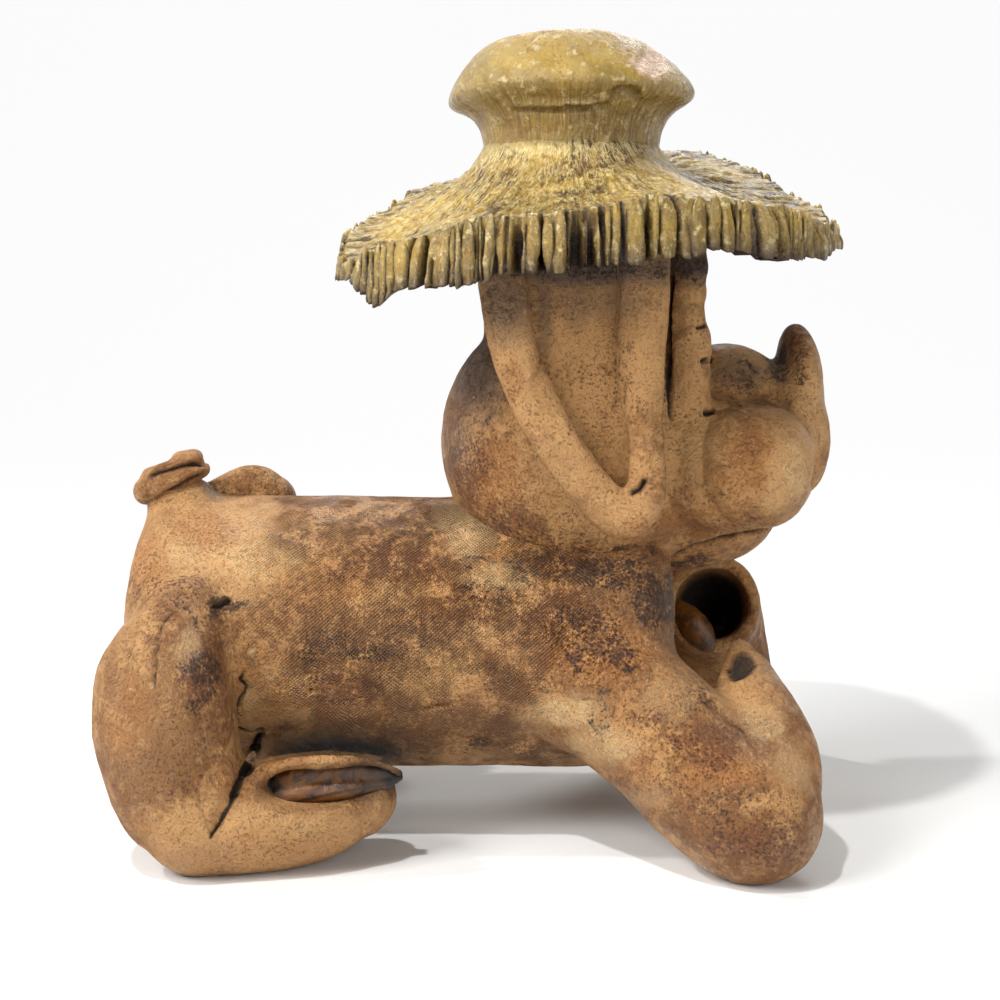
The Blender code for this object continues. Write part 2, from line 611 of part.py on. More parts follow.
def stand_flat(body, cutters):
    """Rub the feet flat on the ground plane."""
    bpy.ops.mesh.primitive_cube_add(size=1.0)
    ground = bpy.context.object
    ground.name = 'ground_cut'
    depth = 2 * UPPER_ARM_RADIUS
    ground.data.transform(Matrix.Translation((TRUNK_LENGTH / 2, 0, -depth / 2))
                          @ Matrix.Diagonal((4 * TRUNK_LENGTH, 4 * TRUNK_LENGTH, depth, 1.0)))
    place(ground, cutters)
    return cut(body, ground)


def centre_on_ground(body):
    """Put the origin at the bottom centre of the figure's box."""
    xs = [v.co.x for v in body.data.vertices]
    ys = [v.co.y for v in body.data.vertices]
    zs = [v.co.z for v in body.data.vertices]
    shift = Vector((-(min(xs) + max(xs)) / 2, -(min(ys) + max(ys)) / 2, -min(zs)))
    body.data.transform(Matrix.Translation(shift))


def clay_material():
    material = bpy.data.materials.new('fired_stoneware')
    material.use_nodes = True
    shader = material.node_tree.nodes['Principled BSDF']
    shader.inputs['Base Color'].default_value = CLAY_COLOUR
    shader.inputs['Roughness'].default_value = CLAY_ROUGHNESS
    shader.inputs['Metallic'].default_value = 0.0
    return material


clear_scene()
figure = new_collection('pottery_pig')
clay = new_collection('pressed_forms')
cutters = new_collection('cutters')
build_trunk(clay)
for side in (NEAR, FAR):
    build_hind_leg(side, clay, cutters)
    build_ear(side, clay)
    build_front_leg(side, clay, cutters)
build_head(clay)
build_hat(clay)
build_tail(clay)
pig = fuse(clay, figure, 'pig_figurine')
stand_flat(pig, cutters)
centre_on_ground(pig)
pig.data.materials.append(clay_material())
pig.data.shade_smooth()
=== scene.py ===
"""A hand-built stoneware pig lying down in a fringed straw hat, on a plain pale floor."""

import math

import bmesh
import bpy
import numpy as np
from mathutils import Matrix, Vector


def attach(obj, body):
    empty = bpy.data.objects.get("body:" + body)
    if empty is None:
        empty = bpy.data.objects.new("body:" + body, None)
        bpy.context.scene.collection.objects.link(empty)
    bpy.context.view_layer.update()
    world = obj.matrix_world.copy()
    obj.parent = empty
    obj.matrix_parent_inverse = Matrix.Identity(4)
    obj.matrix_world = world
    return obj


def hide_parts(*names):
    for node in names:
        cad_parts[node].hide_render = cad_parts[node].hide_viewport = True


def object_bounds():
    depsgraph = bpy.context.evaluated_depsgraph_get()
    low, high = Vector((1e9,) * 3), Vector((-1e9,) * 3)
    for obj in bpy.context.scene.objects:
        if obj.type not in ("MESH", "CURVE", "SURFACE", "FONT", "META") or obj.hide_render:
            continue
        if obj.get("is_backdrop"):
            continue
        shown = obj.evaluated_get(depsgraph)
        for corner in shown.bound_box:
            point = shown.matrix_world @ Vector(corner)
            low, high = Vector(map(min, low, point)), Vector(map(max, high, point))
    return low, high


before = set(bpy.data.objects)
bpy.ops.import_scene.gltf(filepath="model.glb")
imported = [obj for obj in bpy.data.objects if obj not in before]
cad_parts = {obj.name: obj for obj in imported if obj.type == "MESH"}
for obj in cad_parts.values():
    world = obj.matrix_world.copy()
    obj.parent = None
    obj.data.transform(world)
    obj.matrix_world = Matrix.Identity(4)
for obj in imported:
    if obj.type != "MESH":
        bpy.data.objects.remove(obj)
cad_low, cad_high = (Vector(corner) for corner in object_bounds())

# The viewer: a little above the pig's back, looking slightly down at its near side.
# Marks in the clay are laid where they are seen from here, then mirrored for the far side.
VIEW_PIXELS = 1000
VIEW_FOCAL = 1700.0
VIEW_DISTANCE = 0.405
VIEW_HEIGHT = 0.125
VIEW_TILT = math.atan(200.0 / VIEW_FOCAL)
RUMP = Vector((cad_low.x + 0.0039, 0.0, 0.0))
VIEW_X = RUMP.x + 0.086

camera_data = bpy.data.cameras.new("viewer")
camera_data.sensor_width = 36.0
camera_data.lens = camera_data.sensor_width * VIEW_FOCAL / VIEW_PIXELS
camera_data.clip_start = 0.01
camera = bpy.data.objects.new("viewer", camera_data)
camera.location = (VIEW_X, -VIEW_DISTANCE, VIEW_HEIGHT)
camera.rotation_euler = (math.pi / 2 - VIEW_TILT, 0.0, 0.0)
bpy.context.scene.collection.objects.link(camera)
bpy.context.scene.camera = camera
bpy.context.scene.view_settings.view_transform = "Standard"


# Trunk and legs: one slab rolled into a cylinder over cloth, which left its weave in the clay.
# Thick coils are pressed on as legs and worked into the trunk; each foot is left hollow, the
# hind ones as a slot along the top, the front ones as a sleeve folded back towards the chest.
TRUNK_LENGTH = 0.126
TRUNK_RADIUS = 0.0323
TRUNK_AXIS = 0.0457
TRUNK_EDGE = 0.011
THIGH_RADIUS = 0.0150
THIGH_TOP = 0.066
HIND_SPREAD = 0.042
HIND_TOE_SPREAD = 0.035
HEEL_X = 0.023
FOOT_RADIUS = 0.0125
FOOT_LENGTH = 0.041
SOLE_FLAT = 0.0011
ELBOW = (0.1418, 0.0460, 0.0144)
ARM_RADIUS = 0.0155
MOUTH_AT = (0.1404, -0.0250, 0.0430)
MOUTH_SIZE = (0.0104, 0.0110, 0.0054)
NEAR, FAR = -1, 1


def lump(centre, size, tilt=0.0, yaw=0.0):
    """An egg of clay, size being its extent along X, Y and Z before it is turned."""
    mesh = bmesh.new()
    bmesh.ops.create_uvsphere(mesh, u_segments=64, v_segments=40, radius=0.5)
    turn = Matrix.Rotation(yaw, 4, "Z") @ Matrix.Rotation(tilt, 4, "Y")
    mesh.transform(Matrix.Translation(centre) @ turn @ Matrix.Diagonal((*size, 1.0)))
    return mesh


def along(stations, steps=8):
    """Stations (x, y, z, radius) joined by a smooth curve."""
    path = [np.array(s, float) for s in stations]
    path = [2 * path[0] - path[1]] + path + [2 * path[-1] - path[-2]]
    points = []
    for i in range(1, len(path) - 2):
        before, start, end, after = path[i - 1:i + 3]
        for k in range(steps):
            t = k / steps
            points.append(0.5 * (2 * start + (end - before) * t
                                 + (2 * before - 5 * start + 4 * end - after) * t * t
                                 + (3 * start - before - 3 * end + after) * t ** 3))
    return points + [path[-2]]


CAP_ANGLES = (18, 36, 52, 66, 77, 86)  # where a coil's round end has its rings, in degrees


def coil(stations, ends=(True, True), sides=40):
    """A coil of clay along the stations, rounded off at the ends that say so."""
    points = along(stations)
    for at_end in (False, True):
        if not ends[at_end]:
            continue
        tip, inner = (points[-1], points[-2]) if at_end else (points[0], points[1])
        way = tip[:3] - inner[:3]
        way /= np.linalg.norm(way)
        cap = [np.append(tip[:3] + way * tip[3] * math.sin(math.radians(a)),
                         tip[3] * math.cos(math.radians(a))) for a in CAP_ANGLES]
        points = points + cap if at_end else cap[::-1] + points
    mesh = bmesh.new()
    rings = []
    side = None
    for i, point in enumerate(points):
        way = Vector(points[min(i + 1, len(points) - 1)][:3] - points[max(i - 1, 0)][:3])
        way.normalize()
        if side is None:
            side = way.orthogonal().normalized()
        side = (side - way * side.dot(way)).normalized()
        over = way.cross(side)
        centre = Vector(point[:3])
        rings.append([mesh.verts.new(centre + float(point[3]) * (
            side * math.cos(2 * math.pi * k / sides)
            + over * math.sin(2 * math.pi * k / sides))) for k in range(sides)])
    for first, second in zip(rings, rings[1:]):
        for k in range(sides):
            mesh.faces.new((first[k], first[(k + 1) % sides],
                            second[(k + 1) % sides], second[k]))
    mesh.faces.new(rings[0][::-1])
    mesh.faces.new(rings[-1])
    bmesh.ops.recalc_face_normals(mesh, faces=mesh.faces)
    return mesh


def as_object(name, mesh):
    """Turn forms still in the hand into an object."""
    data = bpy.data.meshes.new(name)
    mesh.to_mesh(data)
    mesh.free()
    piece = bpy.data.objects.new(name, data)
    bpy.context.scene.collection.objects.link(piece)
    return piece


def settle(piece):
    """Keep what the modifiers make as the piece's own mesh."""
    seen = piece.evaluated_get(bpy.context.evaluated_depsgraph_get())
    data = bpy.data.meshes.new_from_object(seen)
    piece.modifiers.clear()
    old = piece.data
    piece.data = data
    bpy.data.meshes.remove(old)
    return piece


def cut_out(form, hollow):
    """Take one form out of another."""
    body, tool = as_object("form", form), as_object("hollow", hollow)
    cut = body.modifiers.new("cut", "BOOLEAN")
    cut.operation = "DIFFERENCE"
    cut.solver = "EXACT"
    cut.object = tool
    settle(body)
    mesh = bmesh.new()
    mesh.from_mesh(body.data)
    bpy.data.objects.remove(body, do_unlink=True)
    bpy.data.objects.remove(tool, do_unlink=True)
    return mesh


def press(name, forms, grid, rubs):
    """Press forms into one skin of clay on a fine grid, rub it smooth, and stand it in place."""
    heap = bmesh.new()
    for form in forms:
        data = bpy.data.meshes.new("form")
        form.to_mesh(data)
        form.free()
        heap.from_mesh(data)
        bpy.data.meshes.remove(data)
    piece = as_object(name, heap)
    skin = piece.modifiers.new("press", "REMESH")
    skin.mode = "VOXEL"
    skin.voxel_size = grid
    smooth = piece.modifiers.new("rub", "SMOOTH")
    smooth.factor = 0.5
    smooth.iterations = rubs
    settle(piece)
    piece.data.transform(Matrix.Translation(RUMP))
    return piece


def read_points(piece):
    data = piece.data
    points = np.zeros(len(data.vertices) * 3)
    data.vertices.foreach_get("co", points)
    normals = np.zeros(len(data.vertices) * 3)
    data.vertices.foreach_get("normal", normals)
    return points.reshape(-1, 3), normals.reshape(-1, 3)


def write_points(piece, points):
    piece.data.vertices.foreach_set("co", points.ravel())
    piece.data.update()


def grain(points, size, seed):
    """A smooth random field from -1 to 1 with lumps of about the given size."""
    place = points / size + 50.0 + seed * 7.31
    cell = np.floor(place).astype(np.int64)
    part = place - cell
    part = part * part * (3 - 2 * part)
    field = np.zeros(len(points))
    for corner in range(8):
        step = np.array((corner & 1, corner >> 1 & 1, corner >> 2 & 1))
        spot = cell + step
        key = (spot[:, 0] * 73856093 ^ spot[:, 1] * 19349663 ^ spot[:, 2] * 83492791) & 0xFFFFFF
        key = (key * (key * key % 15731 + 789221) + 1376312589) & 0x7FFFFFFF
        share = np.prod(np.where(step, part, 1 - part), axis=1)
        field += share * (key / 0x3FFFFFFF - 1)
    return field


def seen_at(points):
    """Where the viewer sees each point, in pixels across and down; the far side is mirrored."""
    turn, lift = math.cos(VIEW_TILT), math.sin(VIEW_TILT)
    across = points[:, 0] - VIEW_X
    away = VIEW_DISTANCE - np.abs(points[:, 1])
    up = points[:, 2] - VIEW_HEIGHT
    depth = away * turn - up * lift
    rise = away * lift + up * turn
    centre = VIEW_PIXELS / 2
    return np.stack((centre + VIEW_FOCAL * across / depth, centre - VIEW_FOCAL * rise / depth), 1)


def nearness(spots, path):
    """Distance in pixels from each spot to a path, and how far along it, from 0 to 1."""
    best = np.full(len(spots), 1e9)
    share = np.zeros(len(spots))
    path = np.array(path, float)
    lengths = np.linalg.norm(np.diff(path, axis=0), axis=1)
    total = max(lengths.sum(), 1e-6)
    done = 0.0
    for start, end, length in zip(path, path[1:], lengths):
        way = end - start
        t = np.clip(((spots - start) @ way) / max(length * length, 1e-9), 0, 1)
        gap = np.linalg.norm(spots - start - t[:, None] * way, axis=1)
        closer = gap < best
        best[closer] = gap[closer]
        share[closer] = ((done + t * length) / total)[closer]
        done += length
    return best, share


def facing(points, normals):
    """How squarely each point faces the viewer, with the far side mirrored."""
    mirrored = normals.copy()
    mirrored[:, 1] *= np.where(points[:, 1] > 0, -1, 1)
    return np.clip(-mirrored[:, 1] * 0.95 + mirrored[:, 2] * 0.2, -1, 1)


TOOL_FADE = 0.12  # the share of a tool's path over which its mark fades out at each end


def carve(piece, path, width, depth, wander=0.0, deep_fold=False):
    """Draw a tool through the clay along a seen path; returns how deep each point went."""
    points, normals = read_points(piece)
    spots = seen_at(points)
    if wander:
        sway = [grain(points, 0.004, seed) + 0.7 * grain(points, 0.0013, seed + 3)
                for seed in (5, 6)]
        spots = spots + wander * np.stack(sway, 1)
    gap, share = nearness(spots, along(path, 4) if len(path) < 7 else path)
    reach = np.clip(1 - gap / width, 0, 1) ** 1.2
    reach *= np.clip(np.minimum(share, 1 - share) / TOOL_FADE, 0, 1)
    if width < 4:
        reach *= np.clip(0.75 + 0.9 * grain(points, 0.0030, 14), 0.1, 1)
    reach *= facing(points, normals) > (-0.35 if deep_fold else 0.15)
    write_points(piece, points - normals * (reach * depth)[:, None])
    return reach * np.sign(depth)


def set_mask(piece, name, values):
    """Store a finish mask on the piece's points."""
    mask = piece.data.attributes.get(name) or piece.data.attributes.new(name, "FLOAT", "POINT")
    mask.data.foreach_set("value", np.clip(values, 0, 1).astype(np.float32))


def blots(piece, marks, ragged):
    """A mask of soft, ragged patches, each (across, down, half width, half height, strength)."""
    points, normals = read_points(piece)
    spots = seen_at(points)
    torn = 1 + ragged * (grain(points, 0.006, 11) + 0.6 * grain(points, 0.0022, 12))
    mask = np.zeros(len(points))
    for across, down, wide, high, strength in marks:
        gap = np.hypot((spots[:, 0] - across) / wide, (spots[:, 1] - down) / high) * torn
        mask = np.maximum(mask, strength * np.clip(1.6 - 1.25 * gap, 0, 1))
    return mask * np.clip(facing(points, normals) * 4, 0, 1)


def read_links(piece):
    """The two ends of every edge, and how many edges meet at each point."""
    ends = np.zeros(len(piece.data.edges) * 2, int)
    piece.data.edges.foreach_get("vertices", ends)
    first, second = ends.reshape(-1, 2).T
    size = len(piece.data.vertices)
    return first, second, np.bincount(first, minlength=size) + np.bincount(second, minlength=size)


def mean_around(points, links):
    """The middle of each point's neighbours."""
    first, second, count = links
    total = [np.bincount(first, points[second, k], len(points))
             + np.bincount(second, points[first, k], len(points)) for k in range(3)]
    return np.stack(total, 1) / np.maximum(count, 1)[:, None]


def hollows(piece, reach):
    """How far each point lies below (above 0) or above its surroundings, in metres."""
    points, normals = read_points(piece)
    links = read_links(piece)
    smooth = points.copy()
    for _ in range(reach):
        smooth = 0.35 * smooth + 0.65 * mean_around(smooth, links)
    return np.einsum("ij,ij->i", smooth - points, normals)


PROUD_SHARE = 0.04  # how much rubbing takes off what stands proud, against a hollow's fill


def fill_joints(piece, rounds, spare=()):
    """Work clay into the joints: hollows fill out smooth while the rest keeps its form.

    The hollows seen inside an oval (across, down, half width, half height) are spared.
    """
    links = read_links(piece)
    spots = seen_at(read_points(piece)[0])
    share = np.ones(len(spots))
    for across, down, wide, high in spare:
        gap = np.hypot((spots[:, 0] - across) / wide, (spots[:, 1] - down) / high)
        share = np.minimum(share, np.clip(gap * 4 - 3.4, 0.08, 1))
    for done in range(rounds):
        if done % 5 == 0:
            if done:
                write_points(piece, points)
            points, normals = read_points(piece)
        step = mean_around(points, links) - points
        hollow = np.einsum("ij,ij->i", step, normals) > 0
        points = points + 0.5 * step * np.where(hollow, share, PROUD_SHARE)[:, None]
    write_points(piece, points)


def refine(piece, paths, reach):
    """Give the clay a finer grid where small marks will be cut."""
    points, normals = read_points(piece)
    spots = seen_at(points)
    close = np.zeros(len(points), bool)
    for path in paths:
        close |= nearness(spots, path)[0] < reach
    close &= facing(points, normals) > -0.35
    mesh = bmesh.new()
    mesh.from_mesh(piece.data)
    mesh.verts.ensure_lookup_table()
    faces = [f for f in mesh.faces if all(close[v.index] for v in f.verts)]
    edges = {e for f in faces for e in f.edges}
    bmesh.ops.subdivide_edges(mesh, edges=list(edges), cuts=1, use_grid_fill=True)
    bmesh.ops.triangulate(mesh, faces=[f for f in mesh.faces if len(f.verts) > 4])
    mesh.to_mesh(piece.data)
    mesh.free()


def work_surface(piece, dents, scuffs, seed):
    """The slight unevenness of clay that was shaped by hand."""
    points, normals = read_points(piece)
    field = (dents * (grain(points, 0.017, seed) + 0.5 * grain(points, 0.008, seed + 1))
             + scuffs * (grain(points, 0.0035, seed + 2) + 0.6 * grain(points, 0.0016, seed + 3)))
    write_points(piece, points + normals * field[:, None])


def shade_hollows(piece, reach, depth, marks=0.0, keep=1.0):
    """Note where the clay lies low or was marked by a tool, to get painted shade there, and where it
    stands proud.
    """
    below = hollows(piece, reach) / depth
    set_mask(piece, "crease_shade", np.maximum(np.clip(below, 0, 1) * keep, marks))
    set_mask(piece, "ridge", -below)
    return below


def paint(piece, patches, ragged=None):
    """Lay every finish on the piece where its patches are seen."""
    for name, marks in patches.items():
        set_mask(piece, name, blots(piece, marks, (ragged or {}).get(name, 0.35)))


def node(tree, kind, settings=None, **sockets):
    """Add a shader node; a socket takes a value or another node's output."""
    made = tree.nodes.new(kind)
    for key, value in (settings or {}).items():
        setattr(made, key, value)
    for key, value in sockets.items():
        socket = made.inputs[int(key[1:])] if key[0] == "i" and key[1:].isdigit() \
            else made.inputs[key.replace("_", " ")]
        if isinstance(value, bpy.types.NodeSocket):
            tree.links.new(value, socket)
        else:
            socket.default_value = value
    return made


def ramp(tree, source, low, high):
    """Map low..high of a socket onto 0..1."""
    return node(tree, "ShaderNodeMapRange", {"interpolation_type": "SMOOTHSTEP"},
                Value=source, From_Min=low, From_Max=high).outputs[0]


def maths(tree, operation, first, second):
    return node(tree, "ShaderNodeMath", {"operation": operation}, i0=first, i1=second).outputs[0]


def times(tree, first, second):
    return maths(tree, "MULTIPLY", first, second)


def added(tree, first, second):
    return maths(tree, "ADD", first, second)


def minus(tree, first, second):
    return maths(tree, "SUBTRACT", first, second)


def upper(tree, first, second):
    return maths(tree, "MAXIMUM", first, second)


def blend_colour(tree, share, first, second):
    """Lay the second colour over the first by a share; each is a socket or a value."""
    mix = node(tree, "ShaderNodeMix", {"data_type": "RGBA"})
    for socket, value in ((mix.inputs[0], share), (mix.inputs[6], first), (mix.inputs[7], second)):
        if isinstance(value, bpy.types.NodeSocket):
            tree.links.new(value, socket)
        else:
            socket.default_value = (*value, 1.0) if isinstance(value, tuple) else value
    return mix.outputs[2]


def noise(tree, place, scale, detail=4.0, roughness=0.55, distortion=0.0):
    return node(tree, "ShaderNodeTexNoise", Vector=place, Scale=scale, Detail=detail,
                Roughness=roughness, Distortion=distortion).outputs[0]


def mask(tree, name):
    made = node(tree, "ShaderNodeAttribute")
    made.attribute_name = name
    return made.outputs["Fac"]


CLAY_TAN = (0.47, 0.245, 0.085)
CLAY_BROWN = (0.195, 0.078, 0.019)
CLAY_RED = (0.150, 0.050, 0.012)
CLAY_AMBER = (0.34, 0.135, 0.032)
CLAY_UMBER = (0.026, 0.010, 0.003)
CLAY_GREY = (0.085, 0.056, 0.042)
CLAY_CREAM = (0.66, 0.44, 0.21)
CLAY_BUFF = (0.62, 0.345, 0.135)
PATCH_FINISHES = (  # a patch's name, how soft its edge is, how much it covers, its colour
    ("buff", 0.40, 0.80, CLAY_BUFF), ("stain", 0.35, 0.85, CLAY_BROWN),
    ("pale", 0.25, 0.65, CLAY_CREAM), ("amber", 0.30, 0.85, CLAY_AMBER),
    ("red", 0.25, 0.85, CLAY_RED))
HOLLOW_SHADE = (0.006, 0.004, 0.003)
WEAVE_PITCH = 0.00092


def new_finish(name):
    """A new material, with its node tree, its shader and the place on the object."""
    material = bpy.data.materials.new(name)
    material.use_nodes = True
    tree = material.node_tree
    place = node(tree, "ShaderNodeTexCoord").outputs["Object"]
    return material, tree, tree.nodes["Principled BSDF"], place


def set_finish(tree, shader, colour, rough, height, strength, distance):
    """Lead a finish's colour, roughness and bump to its shader."""
    bump = node(tree, "ShaderNodeBump", Strength=strength, Distance=distance, Height=height)
    for source, label in ((colour, "Base Color"), (rough, "Roughness"), (bump.outputs[0], "Normal")):
        tree.links.new(source, shader.inputs[label])


def torn(tree, name, flecks, soft):
    """A finish mask broken up into flecks: thin where the mask is weak, closing where strong."""
    spread = times(tree, mask(tree, name), minus(tree, times(tree, flecks, 4.6), 1.55))
    return ramp(tree, spread, 0.42 - soft, 0.42 + soft)


def fired_clay(name, offset, brown, red, gloss, weave=False):
    """Brown stoneware: tan clay with brown and red flashing, iron specks and a thin ash gloss, with
    painted shade in its hollows and tool marks, and near black painted shade inside the hooves.
    """
    material, tree, shader, place = new_finish(name)
    place = node(tree, "ShaderNodeMapping", Vector=place, Location=(offset, offset, 0)).outputs[0]
    broad = noise(tree, place, 24.0, 5.0, 0.6, 0.8)
    middle = noise(tree, place, 120.0, 6.0, 0.7, 0.4)
    fine = noise(tree, place, 620.0, 5.0, 0.72)
    tone = added(tree, times(tree, broad, 0.38),
                 added(tree, times(tree, middle, 0.34), times(tree, fine, 0.28)))
    colour = blend_colour(tree, ramp(tree, tone, 0.50 - 0.08 * brown, 0.62 - 0.08 * brown),
                          CLAY_TAN, CLAY_BROWN)
    warm = noise(tree, place, 42.0, 7.0, 0.72, 1.2)
    colour = blend_colour(tree, times(tree, ramp(tree, warm, 0.50, 0.62), 0.5 * red), colour,
                          CLAY_AMBER)
    colour = blend_colour(tree, times(tree, ramp(tree, warm, 0.46, 0.36), 0.7 * red), colour,
                          CLAY_RED)
    speck = noise(tree, place, 1500.0, 3.0, 0.65)
    flecks = added(tree, times(tree, middle, 0.26),
                   added(tree, times(tree, fine, 0.40), times(tree, speck, 0.34)))
    for patch, soft, share, tint in PATCH_FINISHES:
        laid = times(tree, torn(tree, patch, flecks, soft), share)
        colour = blend_colour(tree, laid, colour, tint)
    # Grey patches; along the top of the head and ears, just under the brim, they are painted shadow of
    # the brim.
    colour = blend_colour(tree, mask(tree, "grey"), colour, CLAY_GREY)
    crowd = noise(tree, place, 75.0, 5.0, 0.65, 0.5)
    specks = times(tree, ramp(tree, speck, 0.55, 0.66), ramp(tree, crowd, 0.47, 0.62))
    colour = blend_colour(tree, times(tree, specks, 0.5), colour, CLAY_UMBER)
    bright = times(tree, ramp(tree, fine, 0.58, 0.68), ramp(tree, crowd, 0.50, 0.40))
    colour = blend_colour(tree, times(tree, bright, 0.5), colour, CLAY_CREAM)
    height = added(tree, fine, times(tree, middle, 1.6))
    height = added(tree, height, times(tree, ramp(tree, speck, 0.56, 0.66), -0.5))
    threads = 0.0
    if weave:
        slab = node(tree, "ShaderNodeUVMap", {"uv_map": "slab"}).outputs[0]
        split = node(tree, "ShaderNodeSeparateXYZ", i0=slab)
        turn = 2 * math.pi / WEAVE_PITCH
        wobble = times(tree, noise(tree, place, 70.0, 3.0), 0.0042)
        wave = [node(tree, "ShaderNodeMath", {"operation": "SINE"},
                     i0=times(tree, added(tree, way, wobble), pitch)).outputs[0]
                for way, pitch in ((split.outputs[0], turn), (split.outputs[1], turn * 1.12))]
        cloth = times(tree, wave[0], wave[1])
        pressed = times(tree, mask(tree, "weave"), ramp(tree, middle, 0.38, 0.56))
        height = added(tree, height, times(tree, times(tree, cloth, pressed), 0.40))
        uneven = added(tree, cloth, times(tree, fine, 2.0))
        dark = times(tree, ramp(tree, uneven, 0.85, -0.1), pressed)
        colour = blend_colour(tree, times(tree, dark, 0.55), colour, CLAY_BROWN)
        pits = times(tree, times(tree, ramp(tree, cloth, -0.2, -0.9), pressed),
                     ramp(tree, crowd, 0.44, 0.60))
        colour = blend_colour(tree, times(tree, pits, 0.75), colour, CLAY_UMBER)
        threads = times(tree, times(tree, ramp(tree, cloth, -0.15, 0.35), pressed), 0.75)
    # Painted shade: the clay turns umber where it lies low and in the tool marks.
    crease_shade = times(tree, mask(tree, "crease_shade"), added(tree, middle, 0.8))
    colour = blend_colour(tree, ramp(tree, crease_shade, 0.10, 1.05), colour, CLAY_UMBER)
    # Dark patches, laid umber; those on the brow and ears just under the brim are painted shadow of the
    # brim.
    dark_patches_and_shade = times(tree, torn(tree, "dark", flecks, 0.16), minus(tree, 1.0, threads))
    colour = blend_colour(tree, times(tree, dark_patches_and_shade, 0.85), colour, CLAY_UMBER)
    # Painted shade: the insides of the hooves are laid near black.
    colour = blend_colour(tree, mask(tree, "inside"), colour, HOLLOW_SHADE)
    ash = ramp(tree, noise(tree, place, 48.0, 5.0, 0.6, 0.4), 0.62 - 0.3 * gloss,
               0.85 - 0.3 * gloss)
    shine = upper(tree, ash, mask(tree, "gloss"))
    rough = node(tree, "ShaderNodeMapRange", Value=shine, To_Min=0.62, To_Max=0.17).outputs[0]
    rough = added(tree, rough, times(tree, ramp(tree, middle, 0.40, 0.60), 0.20))
    set_finish(tree, shader, colour, rough, height, strength=0.95, distance=0.0012)
    return material


def keep_within(piece, give=0.0012):
    """Press in softly what stands out beyond the figure's measured size; its soles are flat."""
    points, _ = read_points(piece)
    points[:, 2] = np.maximum(points[:, 2], cad_low.z)
    for axis, limit, way in ((0, cad_low.x, -1), (0, cad_high.x, 1), (1, cad_low.y, -1),
                             (1, cad_high.y, 1), (2, cad_high.z, 1)):
        over = np.maximum(way * (points[:, axis] - limit) + give, 0)
        points[:, axis] -= way * (over - give * (1 - np.exp(-over / give)))
    write_points(piece, points)


def finish_piece(piece, material):
    """Give a piece its material and its place in the figure."""
    keep_within(piece)
    piece.data.materials.clear()
    piece.data.materials.append(material)
    piece.data.shade_smooth()
    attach(piece, "root")
    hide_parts("pig_figurine")


def front_leg(side):
    """The coils of one front leg; the near hoof is pinched shut, the far one stands open."""
    elbow = np.array((ELBOW[0], side * ELBOW[1], ELBOW[2]))
    upper = coil([(TRUNK_LENGTH - 0.0228, side * TRUNK_RADIUS * 0.49, elbow[2] + 0.0275,
                   ARM_RADIUS * 1.13),
                  (TRUNK_LENGTH - 0.006, elbow[1] * 0.70, elbow[2] + 0.0156, ARM_RADIUS * 1.02),
                  (TRUNK_LENGTH + 0.0075, elbow[1] * 0.92, elbow[2] + 0.004, ARM_RADIUS),
                  (elbow[0] - 0.0008, elbow[1], elbow[2] - 0.0004, ARM_RADIUS * 0.97)])
    if side == NEAR:
        fore = coil([(elbow[0] + 0.001, elbow[1] * 0.93, elbow[2] + 0.003, ARM_RADIUS * 0.86),
                     (elbow[0] + 0.0030, elbow[1] * 0.76, 0.0235, 0.0122),
                     (elbow[0] + 0.0016, elbow[1] * 0.56, 0.0330, 0.0092),
                     (elbow[0] + 0.0008, elbow[1] * 0.42, 0.0400, 0.0060),
                     (elbow[0] + 0.0002, elbow[1] * 0.36, 0.0442, 0.0028)])
        return [upper, cut_out(fore, lump(MOUTH_AT, MOUTH_SIZE, math.radians(-62), 0.25))]
    fore = coil([(elbow[0] + 0.001, elbow[1] * 0.93, elbow[2] + 0.003, ARM_RADIUS * 0.86),
                 (elbow[0] + 0.003, elbow[1] * 0.74, 0.0255, 0.0128),
                 (elbow[0] + 0.0005, elbow[1] * 0.58, 0.0400, 0.0122),
                 (elbow[0] - 0.0032, elbow[1] * 0.32, 0.0490, 0.0128),
                 (elbow[0] - 0.0036, elbow[1] * 0.20, 0.0505, 0.0122)], (True, False))
    bore = coil([(elbow[0] - 0.0005, elbow[1] * 0.58, 0.0420, 0.0060),
                 (elbow[0] - 0.0030, elbow[1] * 0.34, 0.0490, 0.0086),
                 (elbow[0] - 0.0036, elbow[1] * 0.10, 0.0506, 0.0088)], (True, False))
    return [upper, cut_out(fore, bore)]


